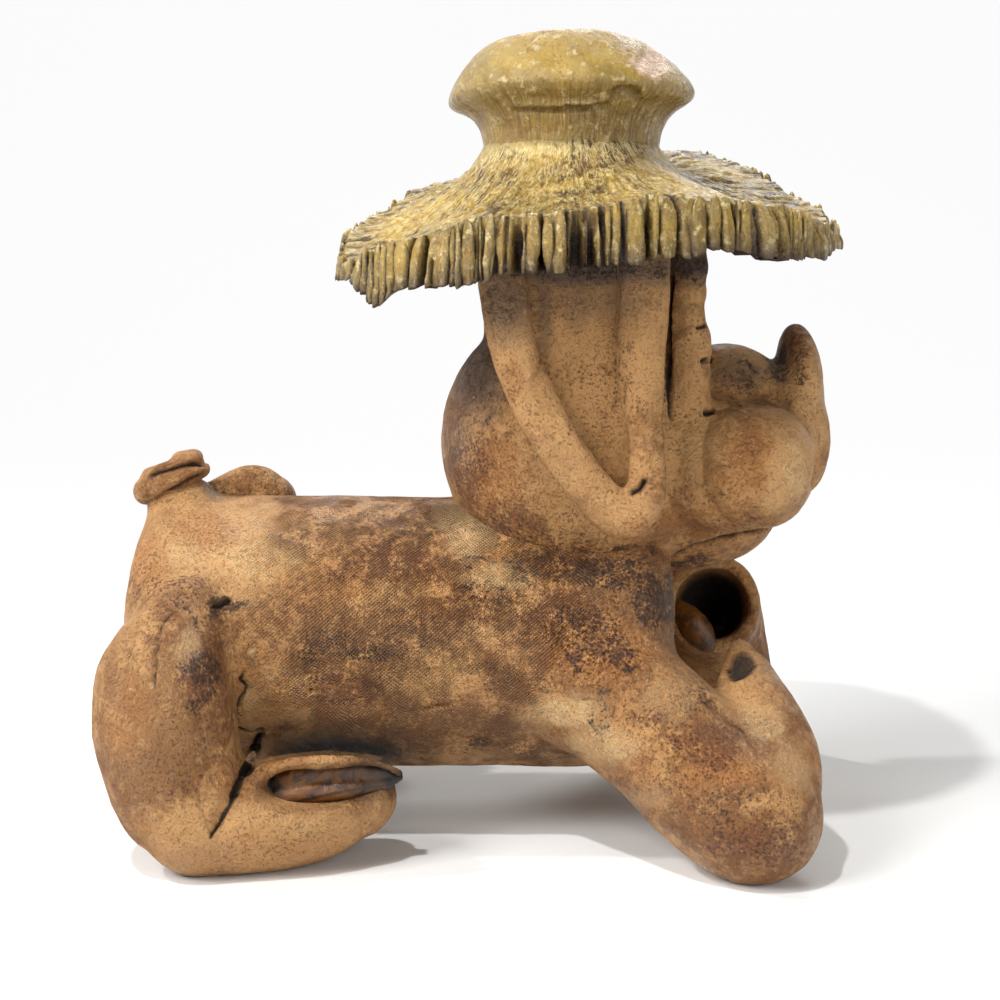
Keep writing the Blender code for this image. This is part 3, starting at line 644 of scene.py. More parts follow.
def hind_leg(side):
    """The thigh pressed on the rump, and the foot laid forward, split open for its toes."""
    spread = side * HIND_SPREAD
    toe_y = side * HIND_TOE_SPREAD
    low = FOOT_RADIUS - SOLE_FLAT
    thigh = coil([(THIGH_RADIUS + 0.001, side * TRUNK_RADIUS * 0.86, THIGH_TOP - 0.010,
                   THIGH_RADIUS * 0.56),
                  (THIGH_RADIUS - 0.0036, spread * 0.88, THIGH_TOP * 0.60, THIGH_RADIUS),
                  (THIGH_RADIUS - 0.0005, spread * 0.95, THIGH_RADIUS + 0.006,
                   THIGH_RADIUS * 1.02),
                  (HEEL_X - 0.003, spread, THIGH_RADIUS * 0.93 - SOLE_FLAT,
                   THIGH_RADIUS * 0.93)])
    toe_x = HEEL_X + FOOT_LENGTH - FOOT_RADIUS * 0.85
    foot = coil([(HEEL_X, spread, low, FOOT_RADIUS),
                 (HEEL_X + FOOT_LENGTH * 0.30, (spread * 2 + toe_y) / 3, low + 0.0005,
                  FOOT_RADIUS),
                 (HEEL_X + FOOT_LENGTH * 0.55, (spread + 2 * toe_y) / 3, low + 0.0016,
                  FOOT_RADIUS * 0.93),
                 (toe_x, toe_y, low + 0.0032, FOOT_RADIUS * 0.74)])
    inward = math.atan2(HIND_TOE_SPREAD - HIND_SPREAD, FOOT_LENGTH - FOOT_RADIUS)
    slot = lump((HEEL_X + 0.0262, side * (HIND_TOE_SPREAD + 0.0120), 0.0208),
                (0.0345, FOOT_RADIUS * 1.9, 0.0104), math.radians(-3), side * inward)
    lip = coil([(0.0325, side * 0.0440, 0.0208, 0.0024), (0.0365, side * 0.0452, 0.0238, 0.0018),
                (0.0440, side * 0.0452, 0.0260, 0.0013), (0.0526, side * 0.0438, 0.0257, 0.0012),
                (0.0590, side * 0.0414, 0.0240, 0.0012), (0.0640, side * 0.0388, 0.0212, 0.0012)])
    roof = lump((0.0465, side * 0.0388, 0.0240), (0.0290, 0.0140, 0.0022), math.radians(2),
                side * inward)
    return [thigh, cut_out(foot, slot), lip, roof]


rounding = [(TRUNK_EDGE * (1 - math.cos(math.radians(a))), 0.0, TRUNK_AXIS,
             TRUNK_RADIUS - TRUNK_EDGE + TRUNK_EDGE * math.sin(math.radians(a)))
            for a in (0, 15, 30, 50, 70, 90)]
barrel = coil(rounding + [(TRUNK_LENGTH / 2, 0, TRUNK_AXIS, TRUNK_RADIUS)]
              + [(TRUNK_LENGTH - x, y, z, r) for x, y, z, r in rounding[::-1]],
              (False, False), sides=128)
stub = coil([(0.0125, 0, 0.0690, 0.0130), (0.0098, 0, 0.0745, 0.0092), (0.0088, 0, 0.0775, 0.0076)],
            (False, True))
stub_lip = lump((0.0130, 0, 0.0785), (0.0090, 0.0130, 0.0085), math.radians(-24))
body = press("body", [barrel, stub, stub_lip] + front_leg(NEAR) + front_leg(FAR) + hind_leg(NEAR)
             + hind_leg(FAR), grid=0.00102, rubs=4)
HOOF_OVALS = [(333, 776, 76, 36), (722, 612, 44, 44), (740, 662, 22, 27)]
fill_joints(body, 45, spare=HOOF_OVALS)
points, _ = read_points(body)
points[:, 2] = np.maximum(points[:, 2], 0.0)
write_points(body, points)

HEEL_FOLDS = [  # a path as seen, its half width in pixels, its depth in metres, how dark its painted shade is
    ([(260, 742), (250, 760), (240, 788), (226, 812), (210, 838)], 15, 0.0015, 0.0),
    ([(262, 734), (254, 754), (245, 776)], 7.5, 0.0022, 0.55),
    ([(259, 742), (243, 776), (231, 802)], 5.0, 0.0016, 0.6),
    ([(246, 770), (229, 806), (211, 838)], 3.4, 0.0010, 0.7)]
CREASES = [
    ([(248, 665), (241, 679), (246, 687), (239, 702), (234, 715), (237, 729), (251, 735),
      (262, 731), (256, 742), (251, 752)], 3.2, 0.0014, 0.9),
    ([(180, 606), (165, 620), (157, 647), (155, 692)], 2.6, 0.0008, 0.75),
    ([(140, 622), (131, 655), (126, 675), (128, 700)], 2.2, 0.0006, 0.6),
    ([(212, 605), (222, 605), (232, 598)], 4.5, 0.0016, 0.7),
    ([(700, 694), (722, 712), (741, 727), (752, 731)], 6, 0.0012, 0.4),
    ([(408, 712), (430, 708), (450, 705), (470, 698)], 3.0, 0.0005, 0.45),
    ([(437, 733), (465, 736), (490, 744)], 3.4, 0.0006, 0.5),
    ([(196, 784), (204, 812), (213, 838)], 2.6, 0.0005, 0.3),
    ([(183, 780), (192, 808), (204, 836)], 2.6, 0.0005, 0.25),
    ([(150, 800), (166, 824), (188, 846)], 3.0, 0.0004, 0.3),
    ([(460, 558), (478, 556), (496, 562)], 3.2, 0.0009, 0.9),
    ([(424, 512), (434, 520), (444, 522)], 3.6, 0.0008, 0.5),
    ([(455, 589), (466, 586), (474, 590)], 3.6, 0.0008, 0.6),
    ([(498, 590), (508, 586), (518, 584)], 3.6, 0.0008, 0.5),
    ([(525, 690), (550, 692), (575, 700), (600, 699)], 2.8, 0.0006, 0.3),
    ([(585, 720), (594, 730), (604, 736)], 3.4, 0.0008, 0.5)]
BODY_PATCHES = {  # each finish's patches as seen: across, down, half width, half height, strength
    "buff": [
        # The first two buff patches, over the rump and the front of the near hind foot, are partly
        # painted light on their lit faces.
        (210, 548, 90, 56, 0.95), (275, 838, 120, 50, 0.8), (150, 720, 60, 110, 0.35),
        (130, 630, 30, 40, 0.5), (745, 700, 40, 40, 0.5), (380, 820, 30, 30, 0.6)],
    "stain": [
        (345, 640, 130, 56, 0.9), (430, 722, 170, 34, 0.9), (600, 630, 100, 80, 1.2),
        (570, 576, 100, 34, 1.2), (655, 600, 40, 70, 1.2), (380, 540, 120, 30, 0.6),
        (640, 700, 60, 40, 0.5), (700, 800, 60, 40, 0.5), (150, 720, 50, 70, 0.3),
        (540, 748, 70, 16, 0.6), (206, 680, 40, 66, 0.5), (470, 560, 70, 34, 0.5),
        (150, 770, 40, 40, 0.35), (720, 770, 40, 20, 0.5), (750, 852, 60, 30, 0.6)],
    "red": [
        (340, 688, 52, 18, 1.0), (400, 562, 70, 26, 0.8), (470, 610, 60, 34, 0.6),
        (560, 612, 56, 34, 0.7), (600, 660, 60, 26, 0.6), (530, 650, 40, 30, 0.5),
        (705, 745, 44, 22, 1.0), (762, 846, 50, 24, 0.9), (640, 720, 34, 16, 0.6),
        (214, 640, 16, 34, 0.8), (200, 682, 26, 30, 0.9), (190, 590, 40, 20, 0.6),
        (160, 760, 40, 26, 0.4), (300, 540, 50, 14, 0.5), (565, 565, 50, 14, 0.7)],
    "amber": [
        (600, 650, 70, 30, 0.9), (330, 700, 70, 20, 0.8), (725, 770, 44, 22, 1.0),
        (590, 640, 70, 40, 0.8), (150, 560, 26, 40, 0.7), (200, 530, 50, 26, 0.7),
        (330, 590, 70, 30, 0.5), (330, 860, 60, 20, 0.4), (640, 770, 30, 16, 0.6),
        (480, 700, 60, 16, 0.4), (130, 720, 30, 50, 0.5), (250, 850, 90, 26, 0.5)],
    "dark": [
        (355, 655, 24, 10, 0.85), (325, 640, 56, 24, 0.55), (400, 642, 70, 26, 0.45),
        (222, 604, 12, 7, 1.0), (540, 560, 70, 12, 0.6), (206, 672, 20, 40, 0.62),
        (196, 705, 22, 26, 0.5), (575, 617, 40, 16, 0.6), (600, 566, 70, 12, 0.7),
        (500, 596, 40, 16, 0.5), (236, 712, 14, 30, 0.45), (650, 600, 30, 50, 0.62),
        (600, 640, 60, 40, 0.60), (590, 576, 90, 18, 0.66), (480, 742, 22, 8, 0.6),
        (600, 716, 14, 20, 0.5), (560, 755, 60, 8, 0.5), (700, 700, 28, 18, 0.45),
        (720, 800, 60, 40, 0.4), (640, 790, 50, 40, 0.36), (440, 530, 90, 24, 0.42),
        (770, 850, 50, 26, 0.4), (150, 600, 40, 50, 0.36), (300, 600, 60, 40, 0.40),
        (470, 670, 90, 40, 0.38), (160, 790, 50, 50, 0.34)],
    "pale": [
        # The first two pale patches, over the rump, are partly painted light on its lit top.
        (250, 560, 60, 44, 0.55), (180, 545, 40, 40, 0.5), (190, 650, 18, 22, 0.7),
        (465, 530, 30, 34, 0.9), (500, 578, 44, 20, 0.7), (560, 712, 50, 20, 0.8),
        (600, 745, 50, 30, 0.65), (790, 765, 30, 34, 0.5), (665, 700, 40, 36, 0.45),
        (251, 651, 4, 4, 1.0), (270, 677, 4, 4, 1.0), (248, 725, 9, 12, 0.5),
        (250, 700, 12, 30, 0.5), (760, 720, 30, 26, 0.6), (650, 800, 30, 16, 0.5)],
    "gloss": [
        (600, 640, 90, 70, 1.0), (690, 760, 90, 60, 1.0), (240, 560, 80, 50, 0.8),
        (470, 600, 120, 50, 0.9), (560, 570, 70, 40, 0.9), (200, 660, 30, 50, 0.8)],
    "grey": [
        (690, 590, 22, 26, 0.5), (218, 488, 12, 12, 0.7)]}

refine(body, [path for path, *_ in HEEL_FOLDS + CREASES], 9)
work_surface(body, dents=0.00045, scuffs=0.00010, seed=3)
marks = np.zeros(len(body.data.vertices))
for creases, in_fold in ((HEEL_FOLDS, True), (CREASES, False)):
    for path, width, depth, darkness in creases:
        cut = carve(body, path, width, depth, wander=1.8, deep_fold=in_fold)
        marks = np.maximum(marks, darkness * cut)
# Painted shade along the heel's slit on the outer side of each hind foot, narrowing towards its lower
# end.
HEEL_SLIT = [(259, 738), (248, 762), (236, 792), (224, 816), (210, 838)]
points, normals = read_points(body)
hand = points - np.array(RUMP)
slit, down_it = nearness(seen_at(points), along(HEEL_SLIT, 4))
slit = np.clip(1.3 - slit / (4.5 - 3.0 * down_it), 0, 1) * (np.abs(hand[:, 1]) > 0.030)
shade_hollows(body, 12, 0.0008, np.maximum(marks, 0.95 * slit))
paint(body, BODY_PATCHES, {"dark": 0.6})

# The hooves are painted near black inside as shade: the near one's mouth, the hind slots and the far
# one's sleeve.
MOUTH_SHADE = (0.0078, 0.0112, 0.0096)
SLOT_MIDDLE, SLOT_HALF = (0.0492, 0.0208), (0.0175, 0.0058)
SLEEVE_MIDDLE = (ELBOW[0] - 0.0033, 0.0120, 0.0500)
SLEEVE_WAY = np.array((-0.0036, -0.0210, 0.0086)) / 0.0230
mouth = 2 * np.linalg.norm((hand - np.array(MOUTH_AT)) / np.array(MOUTH_SHADE), axis=1)
mouth = 0.9 * np.clip((1.04 - mouth) / 0.22, 0, 1)
from_slot = (hand[:, (0, 2)] - np.array(SLOT_MIDDLE)) / np.array(SLOT_HALF)
deep = np.clip((0.0442 - np.abs(hand[:, 1])) / 0.0012, 0, 1)
deep *= np.clip(1.4 * (1 - np.hypot(*from_slot.T)) + 0.35, 0, 1)
deep *= np.clip((hand[:, 0] - 0.0325) / 0.0012, 0, 1)
from_end = hand - np.array(SLEEVE_MIDDLE)
inward = from_end @ SLEEVE_WAY
aside = from_end - inward[:, None] * SLEEVE_WAY
sleeve = np.clip((0.0108 - np.linalg.norm(aside, axis=1)) / 0.0010, 0, 1)
sleeve *= np.clip((-0.0035 - inward) / 0.0050, 0, 1) * np.clip((inward + 0.024) / 0.004, 0, 1)
sleeve *= np.einsum("ij,ij->i", aside, normals) < 0
set_mask(body, "inside", np.maximum(np.maximum(deep, mouth), sleeve * 0.97))

around = np.arctan2(points[:, 1], points[:, 2] - TRUNK_AXIS)
off_trunk = np.abs(np.hypot(points[:, 1], points[:, 2] - TRUNK_AXIS) - TRUNK_RADIUS)
ends = np.clip((hand[:, 0] - 0.024) / 0.016, 0, 1) * np.clip((0.112 - hand[:, 0]) / 0.014, 0, 1)
set_mask(body, "weave", np.clip(1.6 - off_trunk / 0.0011, 0, 1) * ends)
slab = body.data.uv_layers.new(name="slab")
corner = np.zeros(len(body.data.loops), int)
body.data.loops.foreach_get("vertex_index", corner)
flat = np.stack((hand[corner, 0], around[corner] * TRUNK_RADIUS), 1)
slab.data.foreach_set("uv", flat.astype(np.float32).ravel())
finish_piece(body, fired_clay("body_clay", offset=0.0, brown=0.6, red=0.9, gloss=0.6, weave=True))


# The hind toes are leaves of clay tucked into the slot of each foot, under a dark brown glaze;
# one more leaf is folded into the far front sleeve.
TOE_BROWN = (0.235, 0.080, 0.006)
TOE_LILAC = (0.075, 0.058, 0.060)
TOE_DEEP = (0.050, 0.018, 0.004)
TOE_SHADE = (0.008, 0.006, 0.005)
TOE_RIDGE = [(263, 801), (300, 795), (345, 784), (404, 777)]
TOE_GROOVE = [(268, 806), (300, 801), (345, 791), (400, 784)]
SLEEVE_LEAF = [(0.1300, 0.0130, 0.0500, 0.0012), (0.1330, 0.0096, 0.0462, 0.0036),
               (0.1362, 0.0086, 0.0420, 0.0034), (0.1390, 0.0080, 0.0388, 0.0007)]
FRONT_OF = RUMP.x + 0.09  # the front toes lie beyond this, the hind ones short of it


def toe_glaze():
    """Dark amber glaze that breaks lilac grey along the ridges."""
    material, tree, shader, place = new_finish("toe_glaze")
    broad = noise(tree, place, 210.0, 6.0, 0.7, 0.8)
    colour = blend_colour(tree, ramp(tree, broad, 0.38, 0.56), TOE_DEEP, TOE_BROWN)
    colour = blend_colour(tree, times(tree, mask(tree, "lilac"), 0.9), colour, TOE_LILAC)
    colour = blend_colour(tree, mask(tree, "shade"), colour, TOE_SHADE)
    rough = node(tree, "ShaderNodeMapRange", Value=broad, To_Min=0.22, To_Max=0.52).outputs[0]
    height = noise(tree, place, 520.0, 5.0, 0.7)
    set_finish(tree, shader, colour, rough, height, strength=0.7, distance=0.0006)
    return material


toe_finish = toe_glaze()
for side, name in ((NEAR, "toes_near"), (FAR, "toes_far")):
    y = side * (HIND_TOE_SPREAD + 0.0052)
    leaves = [coil([(0.0345, y + side * 0.0010, 0.0185, 0.0014), (0.0400, y, 0.0204, 0.0034),
                    (0.0490, y - side * 0.0010, 0.0213, 0.0035),
                    (0.0580, y - side * 0.0026, 0.0210, 0.0028),
                    (0.0635, y - side * 0.0040, 0.0203, 0.0010)]),
              coil([(0.0345, y + side * 0.0020, 0.0172, 0.0012),
                    (0.0410, y + side * 0.0024, 0.0176, 0.0024),
                    (0.0500, y + side * 0.0016, 0.0182, 0.0026),
                    (0.0590, y - side * 0.0014, 0.0186, 0.0020),
                    (0.0640, y - side * 0.0032, 0.0196, 0.0008)])]
    if side == FAR:
        leaves.append(coil(SLEEVE_LEAF))
    toes = press(name, leaves, grid=0.00045, rubs=3)
    work_surface(toes, dents=0.0003, scuffs=0.0002, seed=41)
    points, _ = read_points(toes)
    spots = seen_at(points)
    in_front = points[:, 0] > FRONT_OF
    ridge = nearness(spots, TOE_RIDGE)[0]
    below_ridge = np.interp(spots[:, 0], *zip(*TOE_RIDGE)) < spots[:, 1]
    corner = np.clip((300 - spots[:, 0]) / 26, 0, 1) * below_ridge
    set_mask(toes, "lilac", np.maximum(np.clip(1.3 - ridge / 1.5, 0, 1) * 0.8, corner * 0.4)
             * (0.75 + 0.5 * grain(points, 0.002, 3)))
    groove = nearness(spots, TOE_GROOVE)[0]
    hidden = np.clip(1.3 - np.abs(points[:, 1]) / (HIND_TOE_SPREAD + 0.0012), 0, 1) * 4
    hidden = np.where(in_front, 0, hidden)
    ends = np.clip((288 - spots[:, 0]) / 14, 0, 1) + np.clip((spots[:, 0] - 376) / 12, 0, 1)
    ends = np.where(in_front, 0.45, ends)
    set_mask(toes, "shade", np.maximum(np.clip(1.2 - groove / 2.5, 0, 1), np.maximum(hidden, ends)))
    finish_piece(toes, toe_finish)


# Head: a ball of clay leaning over the chest, a column up into the hat, a broad muzzle with a
# jowl on each side, the upturned snout in the middle, a jaw, and a thin roll over each eye.
# The joints are rubbed smooth with the thumb, but for the roll, which keeps its tool marks.
HEAD_X, HEAD_Z = 0.106, 0.0912
HEAD_SIZE = (0.068, 0.064, 0.068)
HAT_SEAT = HEAD_Z + 0.0605
COLUMN_RADIUS = 0.0245
FACE_X = HEAD_X + HEAD_SIZE[0] / 2
BROW_BEADS = [  # height, extra girth, and how far forward each bead of the brow roll stands
    (HAT_SEAT - 0.0040, 0.0, 0.0), (0.1360, -0.0002, 0.0), (0.1330, 0.0002, 0.0),
    (0.1306, 0.0001, 0.0), (0.1292, -0.0007, -0.0004), (0.1280, 0.0, 0.0), (0.1258, 0.0001, 0.0002),
    (0.1242, -0.0011, -0.0008), (0.1228, -0.0001, -0.0002), (0.1205, 0.0, 0.0),
    (0.1194, -0.0019, -0.0018), (0.1182, 0.0002, 0.0004), (0.1150, 0.0005, 0.0008),
    (0.1122, 0.0004, 0.0008), (0.1112, -0.0006, -0.0004), (0.1098, 0.0004, 0.0008),
    (0.1060, 0.0004, 0.0008), (0.1020, 0.0002, 0.0006), (0.0990, -0.0003, 0.0003),
    (0.0970, -0.0002, 0.0)]

forms = [lump((HEAD_X, 0, HEAD_Z), HEAD_SIZE),
         coil([(HEAD_X + 0.001, 0, HEAD_Z, COLUMN_RADIUS),
               (HEAD_X + 0.001, 0, HAT_SEAT - 0.007, COLUMN_RADIUS),
               (HEAD_X + 0.001, 0, HAT_SEAT, COLUMN_RADIUS)], (True, False)),
         lump((FACE_X - 0.0008, 0, HEAD_Z), (0.040, 0.038, 0.047)),
         lump((FACE_X - 0.012, 0, HEAD_Z - 0.034 + 0.0174), (0.048, 0.034, 0.028)),
         lump((FACE_X + 0.0155, 0, HEAD_Z + 0.0040), (0.0170, 0.0300, 0.0330), math.radians(-9)),
         lump((FACE_X + 0.0172, 0, HEAD_Z + 0.0150), (0.0105, 0.0234, 0.0268), math.radians(-6))]
for side in (NEAR, FAR):
    brow = HEAD_X + COLUMN_RADIUS - 0.0026
    forms += [lump((FACE_X - 0.0010, side * 0.0172, HEAD_Z - 0.0035), (0.0390, 0.0240, 0.0305)),
              lump((FACE_X + 0.0060, side * 0.0175, HEAD_Z - 0.0040), (0.0245, 0.0245, 0.0290)),
              coil([(brow + nudge, side * (0.0165 + 0.07 * (0.150 - z)), z, 0.0047 + girth)
                    for z, girth, nudge in BROW_BEADS], (False, True), sides=48)]
head = press("head", forms, grid=0.00075, rubs=4)
fill_joints(head, 9)

FACE_MARKS = [  # a path as seen, its half width in pixels, its depth in metres
    ([(672, 262), (669, 300), (668, 340), (670, 395), (674, 430)], 4.5, 0.0016),
    ([(711, 303), (702, 303), (694, 304)], 3.4, 0.0007),
    ([(712, 323), (704, 326), (695, 327)], 3.6, 0.0010),
    ([(712, 359), (706, 361), (701, 362)], 4.4, 0.0018),
    ([(714, 409), (708, 411), (703, 412)], 4.4, 0.0016),
    ([(672, 424), (684, 422), (692, 424)], 3.6, 0.0006),
    ([(735, 366), (742, 372), (750, 380)], 4.0, 0.0005),
    ([(744, 356), (750, 366), (758, 374)], 4.0, 0.0005),
    ([(668, 486), (684, 487), (702, 489)], 3.4, 0.0004),
    ([(668, 561), (690, 548), (718, 540), (745, 533), (774, 529)], 3.4, 0.0012),
    ([(752, 545), (762, 541), (772, 536)], 2.4, 0.0006),
    ([(712, 412), (703, 440), (704, 480), (716, 512), (738, 532)], 12, 0.0014),
    ([(712, 410), (736, 402), (764, 400)], 10, 0.0006),
    ([(812, 402), (821, 430), (820, 465), (812, 490)], 7, 0.0010),
    ([(512, 538), (540, 546), (566, 556), (590, 558)], 2.4, 0.0006),
    ([(590, 566), (625, 572), (660, 566)], 2.6, 0.0006),
    ([(470, 500), (486, 516), (508, 530), (540, 548), (560, 556)], 2.6, 0.0004),
    ([(560, 545), (600, 556), (650, 552)], 3.0, 0.0003)]
HEAD_PATCHES = {  # laid as the body's are
    "buff": [
        (808, 420, 22, 80, 0.9), (735, 358, 40, 22, 0.8), (780, 470, 40, 50, 0.7),
        (690, 350, 22, 80, 0.7), (690, 460, 40, 40, 0.5)],
    "stain": [
        (630, 572, 100, 22, 1.0), (620, 590, 90, 14, 1.0), (540, 560, 60, 18, 0.8),
        (505, 520, 50, 30, 0.5), (470, 470, 24, 60, 0.4)],
    "red": [
        (748, 448, 20, 30, 0.45), (505, 520, 40, 26, 0.7), (470, 470, 22, 60, 0.7),
        (800, 345, 14, 30, 0.7), (540, 560, 50, 18, 0.6)],
    "amber": [
        (560, 560, 70, 26, 0.8), (640, 560, 60, 20, 0.8), (490, 480, 40, 40, 0.8),
        (700, 520, 50, 20, 0.6), (735, 480, 30, 20, 0.7), (748, 456, 26, 40, 1.0)],
    "dark": [
        (745, 376, 30, 30, 0.5), (778, 358, 18, 34, 0.62), (530, 572, 100, 16, 0.55),
        (665, 350, 6, 90, 0.5), (560, 545, 60, 20, 0.5), (500, 540, 50, 30, 0.45),
        (630, 566, 84, 20, 0.78), (470, 440, 30, 60, 0.4), (700, 500, 40, 50, 0.36),
        # The last dark patch, on the brow just under the brim, is painted shadow of the brim.
        (700, 270, 26, 18, 0.6)],
    "pale": [
        (797, 470, 18, 40, 0.65), (722, 346, 24, 8, 0.4), (700, 440, 30, 40, 0.4),
        (780, 500, 26, 20, 0.45)],
    "gloss": [
        (490, 480, 50, 80, 0.9), (520, 540, 60, 30, 0.8), (810, 400, 16, 60, 0.8),
        (790, 470, 20, 50, 0.6)],
    "grey": [
        # The third grey patch, on the brow just under the brim, is painted shadow of the brim.
        (470, 370, 34, 56, 0.75), (455, 420, 24, 50, 0.4), (690, 262, 44, 20, 0.9),
        (740, 372, 30, 20, 0.6), (778, 358, 14, 30, 0.6), (540, 575, 90, 10, 0.5)]}

refine(head, [path for path, *_ in FACE_MARKS], 8)
work_surface(head, dents=0.00035, scuffs=0.00012, seed=13)
marks = np.zeros(len(head.data.vertices))
for path, width, depth in FACE_MARKS:
    cut = carve(head, path, width, depth, wander=1.2) * (width < 6)
    marks = np.maximum(marks, cut * min(1.0, depth / 0.0010))
shade_hollows(head, 14, 0.0009, marks * 0.9)
paint(head, HEAD_PATCHES, {"dark": 0.6, "grey": 0.2})
finish_piece(head, fired_clay("head_clay", offset=0.6, brown=0.5, red=0.7, gloss=0.4))


# Ears: long leaves of clay that hang from under the hat, each with a broad flattened rim
# folded up round a sunk face, and dark grey along the top: partly the clay's own grey, partly painted
# shadow of the brim.
EAR_RIM = 0.0052
EAR_STAND = 0.0380
EAR_SINK = 0.0036
EAR_FRONT = HEAD_X + 0.0160 - EAR_RIM
EAR_BACK = HEAD_X + 0.0160 - 0.0405 + EAR_RIM
EAR_DROP = 0.0665
FAR_EAR_RISE = 0.0108
TIP_PIT = [(628, 493), (640, 489), (646, 478)]
FACE_LINE = [(616, 330), (619, 360), (624, 410), (620, 430)]
EAR_PATCHES = {  # laid as the body's are
    "buff": [
        (515, 370, 24, 70, 0.85), (560, 460, 40, 50, 0.6), (620, 510, 50, 30, 0.5),
        (650, 370, 20, 90, 0.4), (570, 330, 40, 50, 0.4)],
    "stain": [
        (600, 440, 30, 60, 0.45), (560, 300, 50, 30, 0.4), (590, 380, 30, 60, 0.3)],
    # The dark and grey patches along the top, just under the brim, are partly painted shadow of the
    # brim.
    "dark": [
        (575, 266, 110, 14, 0.6), (505, 300, 30, 34, 0.42), (600, 400, 70, 90, 0.36)],
    "grey": [
        (575, 266, 120, 26, 0.92), (506, 300, 32, 44, 0.65), (545, 296, 10, 60, 0.6),
        (600, 300, 60, 24, 0.4)],
    "amber": [
        (512, 385, 16, 36, 0.7), (640, 525, 26, 12, 0.6), (520, 430, 16, 30, 0.4)],
    "red": [
        (510, 390, 16, 40, 0.4), (640, 525, 26, 14, 0.35)],
    "pale": [
        (632, 515, 30, 14, 0.35), (580, 470, 26, 24, 0.15)]}

for side, name, grid in ((NEAR, "ear_near", 0.00042), (FAR, "ear_far", 0.00055)):
    top = HAT_SEAT - 0.0115
    low = top - EAR_DROP + EAR_RIM
    top += FAR_EAR_RISE if side == FAR else 0.0
    rim = [(EAR_BACK, 0.00, -0.002, 1.0), (EAR_BACK - 0.0002, 0.22, 0.0, 1.0),
           (EAR_BACK + 0.0032, 0.47, 0.0012, 0.96), (EAR_BACK + 0.0105, 0.71, 0.0020, 0.94),
           (EAR_BACK + 0.0195, 0.92, 0.0020, 0.98), (EAR_FRONT - 0.0042, 1.00, 0.0020, 1.04),
           (EAR_FRONT + 0.0004, 0.93, 0.0018, 0.88), (EAR_FRONT + 0.0008, 0.74, 0.0012, 0.74),
           (EAR_FRONT - 0.0004, 0.50, 0.0006, 0.98), (EAR_FRONT + 0.0002, 0.22, 0.0, 1.06),
           (EAR_FRONT, 0.00, -0.002, 1.1)]
    stations = [(x, side * (EAR_STAND + out), top + (low - top) * share, EAR_RIM * girth)
                for x, share, out, girth in rim]
    face = bmesh.new()
    floor_y = EAR_STAND - EAR_SINK + EAR_RIM * 0.45
    smooth = along(stations)
    outer = [face.verts.new((p[0], side * floor_y, p[2])) for p in smooth]
    inner = [face.verts.new((p[0], side * (floor_y - 0.0165), p[2])) for p in smooth]
    for k in range(len(smooth)):
        n = (k + 1) % len(smooth)
        face.faces.new((outer[k], outer[n], inner[n], inner[k]))
    face.faces.new(outer)
    face.faces.new(inner[::-1])
    bmesh.ops.triangulate(face, faces=[f for f in face.faces if len(f.verts) > 4])
    bmesh.ops.recalc_face_normals(face, faces=face.faces)
    ear = press(name, [coil(stations, (False, False)), face], grid, rubs=6)
    points, _ = read_points(ear)
    proud = np.abs(points[:, 1]) - (EAR_STAND + 0.0018)
    flatter = np.where(proud > 0, proud * 0.62, proud)
    points[:, 1] = np.sign(points[:, 1]) * (EAR_STAND + 0.0018 + flatter)
    write_points(ear, points)
    fill_joints(ear, 4)
    work_surface(ear, dents=0.00030, scuffs=0.00016, seed=17)
    pit = carve(ear, TIP_PIT, width=5.5, depth=0.0016, wander=0.5)
    line = carve(ear, FACE_LINE, width=3.2, depth=0.0007, wander=2.4)
    shade_hollows(ear, 16, 0.0008, np.maximum(pit, 0.4 * line), keep=0.8)
    paint(ear, EAR_PATCHES, {"dark": 0.6, "grey": 0.2})
    clay = fired_clay(name + "_clay", offset=0.9, brown=0.25, red=0.25, gloss=0.15)
    finish_piece(ear, clay)


# Hat: a leaf-shaped slab of clay with a thick edge, scored all round into hanging strands of
# straw, thrown on to a short neck and a mushroom crown; all of it under a mustard ash glaze.
BRIM_RADIUS = 0.0590
BRIM_THICKNESS = 0.0072
BRIM_TURN = 1080
HAT_NECK = 0.0210
HAT_X = HEAD_X - 0.0035
EDGE_X = HAT_X + 0.0040  # the brim's edge stands forward of its neck
HAT_ROOT = HAT_SEAT + BRIM_THICKNESS
CROWN_HEIGHT = 0.0168
GLAZE_MUSTARD = (0.46, 0.295, 0.040)
GLAZE_OLIVE = (0.22, 0.140, 0.024)
GLAZE_CREAM = (0.80, 0.64, 0.32)
GLAZE_BLACK = (0.020, 0.012, 0.008)
GLAZE_BROWN = (0.15, 0.065, 0.016)
GLAZE_DEEP_OLIVE = (0.115, 0.066, 0.016)
BARE_CLAY = (0.54, 0.35, 0.21)


def turned(profile, sides):
    """A form thrown on the wheel: (radius, height) points turned about the hat's axis."""
    profile = np.array(profile, float)
    smooth = np.array([p[:3] for p in along([(r, h, 0, 0) for r, h in profile], 6)])[:, :2]
    mesh = bmesh.new()
    rings = []
    for k in range(sides):
        angle = 2 * math.pi * k / sides
        rings.append([mesh.verts.new((HAT_X + r * math.cos(angle), r * math.sin(angle), h))
                      for r, h in smooth])
    for k in range(sides):
        first, second = rings[k], rings[(k + 1) % sides]
        for j in range(len(smooth) - 1):
            mesh.faces.new((first[j], second[j], second[j + 1], first[j + 1]))
    bmesh.ops.remove_doubles(mesh, verts=mesh.verts, dist=1e-6)
    bmesh.ops.recalc_face_normals(mesh, faces=mesh.faces)
    return mesh


